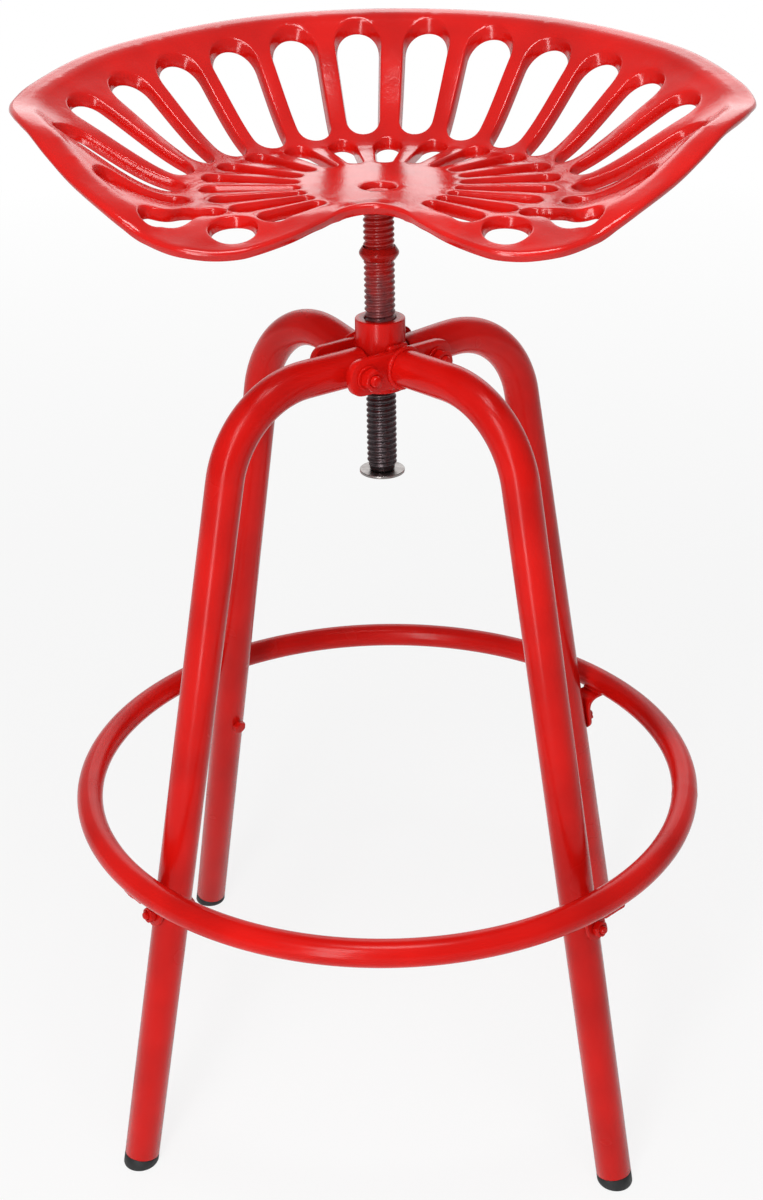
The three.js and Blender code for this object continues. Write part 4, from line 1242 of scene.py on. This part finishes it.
def paper_floor():
    """White paper sweep: dull and even, so it goes to plain white further off but keeps a soft shadow"""
    material, tree, place = new_material("white_paper_sweep")
    grain = bumps(tree, place, 3 * MM, 0.02 * MM)
    paper = add_node(tree, "ShaderNodeBsdfDiffuse", {"Color": (0.8, 0.8, 0.8, 1)}, {"Normal": grain})
    glow = add_node(tree, "ShaderNodeEmission", {"Color": (1, 1, 1, 1), "Strength": 1.0})
    away = add_node(tree, "ShaderNodeVectorMath", {"operation": "LENGTH"}, {0: place}).outputs["Value"]
    share = combined(tree, "MULTIPLY", seen_directly(tree), spread(tree, away, 0.8, 3.0, 0.84, 1.0))
    mix = add_node(tree, "ShaderNodeMixShader", None, {0: share, 1: paper.outputs[0], 2: glow.outputs[0]})
    add_node(tree, "ShaderNodeOutputMaterial", None, {"Surface": mix.outputs[0]})
    return material


class STOOL_OT_stage(bpy.types.Operator):
    """Make the floor, the light panels, the room's light and the camera"""
    bl_idname = "stool.stage"
    bl_label = "Stage"

    def execute(self, context):
        scene = context.scene
        stage = scene.stool_stage
        scene.view_settings.view_transform = "Standard"
        mesh = bpy.data.meshes.new("floor")
        corners = [(x * FLOOR_HALF, y * FLOOR_HALF, -FLOOR_DROP) for x, y in ((-1, -1), (1, -1), (1, 1), (-1, 1))]
        mesh.from_pydata(corners, [], [(0, 1, 2, 3)])
        mesh.materials.append(paper_floor())
        floor = bpy.data.objects.new("floor", mesh)
        scene.collection.objects.link(floor)
        world = bpy.data.worlds.new("room")
        world.use_nodes = True
        tree = world.node_tree
        tree.nodes.clear()
        glow = add_node(tree, "ShaderNodeBackground", {"Color": (1, 1, 1, 1)})
        toward = add_node(tree, "ShaderNodeTexCoord").outputs["Generated"]
        back = add_node(tree, "ShaderNodeSeparateXYZ", None, {"Vector": toward}).outputs["Y"]
        sweep_share = spread(tree, back, 0.4, 0.95, stage.room_front, 1.0)
        strength = spread(tree, seen_directly(tree, sweep_share), stage.room, 1.0, stage.room, 1.0)
        tree.links.new(strength, glow.inputs["Strength"])
        add_node(tree, "ShaderNodeOutputWorld", None, {"Surface": glow.outputs[0]})
        scene.world = world
        for name, (light, size, place, height) in PANELS.items():
            panel(name, getattr(stage, light), size, place, height)
        data = bpy.data.cameras.new("camera")
        data.sensor_width = 36
        data.lens = stage.lens
        camera = bpy.data.objects.new("camera", data)
        level = stage.distance * cos(stage.elevation)
        camera.location = (level * sin(stage.orbit), -level * cos(stage.orbit),
                           stage.aim_height + stage.distance * sin(stage.elevation))
        tilt = Matrix.Rotation(pi / 2 - stage.pitch, 4, "X") @ Matrix.Rotation(stage.roll, 4, "Z")
        camera.rotation_euler = (Matrix.Rotation(stage.orbit + stage.pan, 4, "Z") @ tilt).to_euler()
        scene.collection.objects.link(camera)
        scene.camera = camera
        return {"FINISHED"}


MAKING = [
    STOOL_OT_stage, STOOL_OT_seat, STOOL_OT_screw, STOOL_OT_collars, STOOL_OT_end_stop, STOOL_OT_hub,
    STOOL_OT_hub_fasteners, STOOL_OT_legs, STOOL_OT_foot_caps, STOOL_OT_foot_ring, STOOL_OT_ring_tabs,
]
GROUPS = {
    "stool_finish": StoolFinish, "stool_seat": StoolSeat, "stool_thread": StoolThread, "stool_stage": StoolStage,
}


class VIEW3D_PT_stool(bpy.types.Panel):
    """Lists what the add-on makes and the sizes and colours that it takes"""
    bl_label = "Tractor seat stool"
    bl_space_type = "VIEW_3D"
    bl_region_type = "UI"
    bl_category = "Stool"

    def draw(self, context):
        for maker in MAKING:
            self.layout.operator(maker.bl_idname)
        for name, group in GROUPS.items():
            box = self.layout.box()
            for field in group.__annotations__:
                box.prop(getattr(context.scene, name), field)


def register():
    for group in GROUPS.values():
        bpy.utils.register_class(group)
    for name, group in GROUPS.items():
        setattr(bpy.types.Scene, name, PointerProperty(type=group))
    for maker in MAKING:
        bpy.utils.register_class(maker)
    bpy.utils.register_class(VIEW3D_PT_stool)


def unregister():
    bpy.utils.unregister_class(VIEW3D_PT_stool)
    for maker in reversed(MAKING):
        bpy.utils.unregister_class(maker)
    for name, group in GROUPS.items():
        delattr(bpy.types.Scene, name)
        bpy.utils.unregister_class(group)


def main():
    register()
    for maker in MAKING:
        group, name = maker.bl_idname.split(".")
        getattr(getattr(bpy.ops, group), name)()


if __name__ == "__main__":
    main()
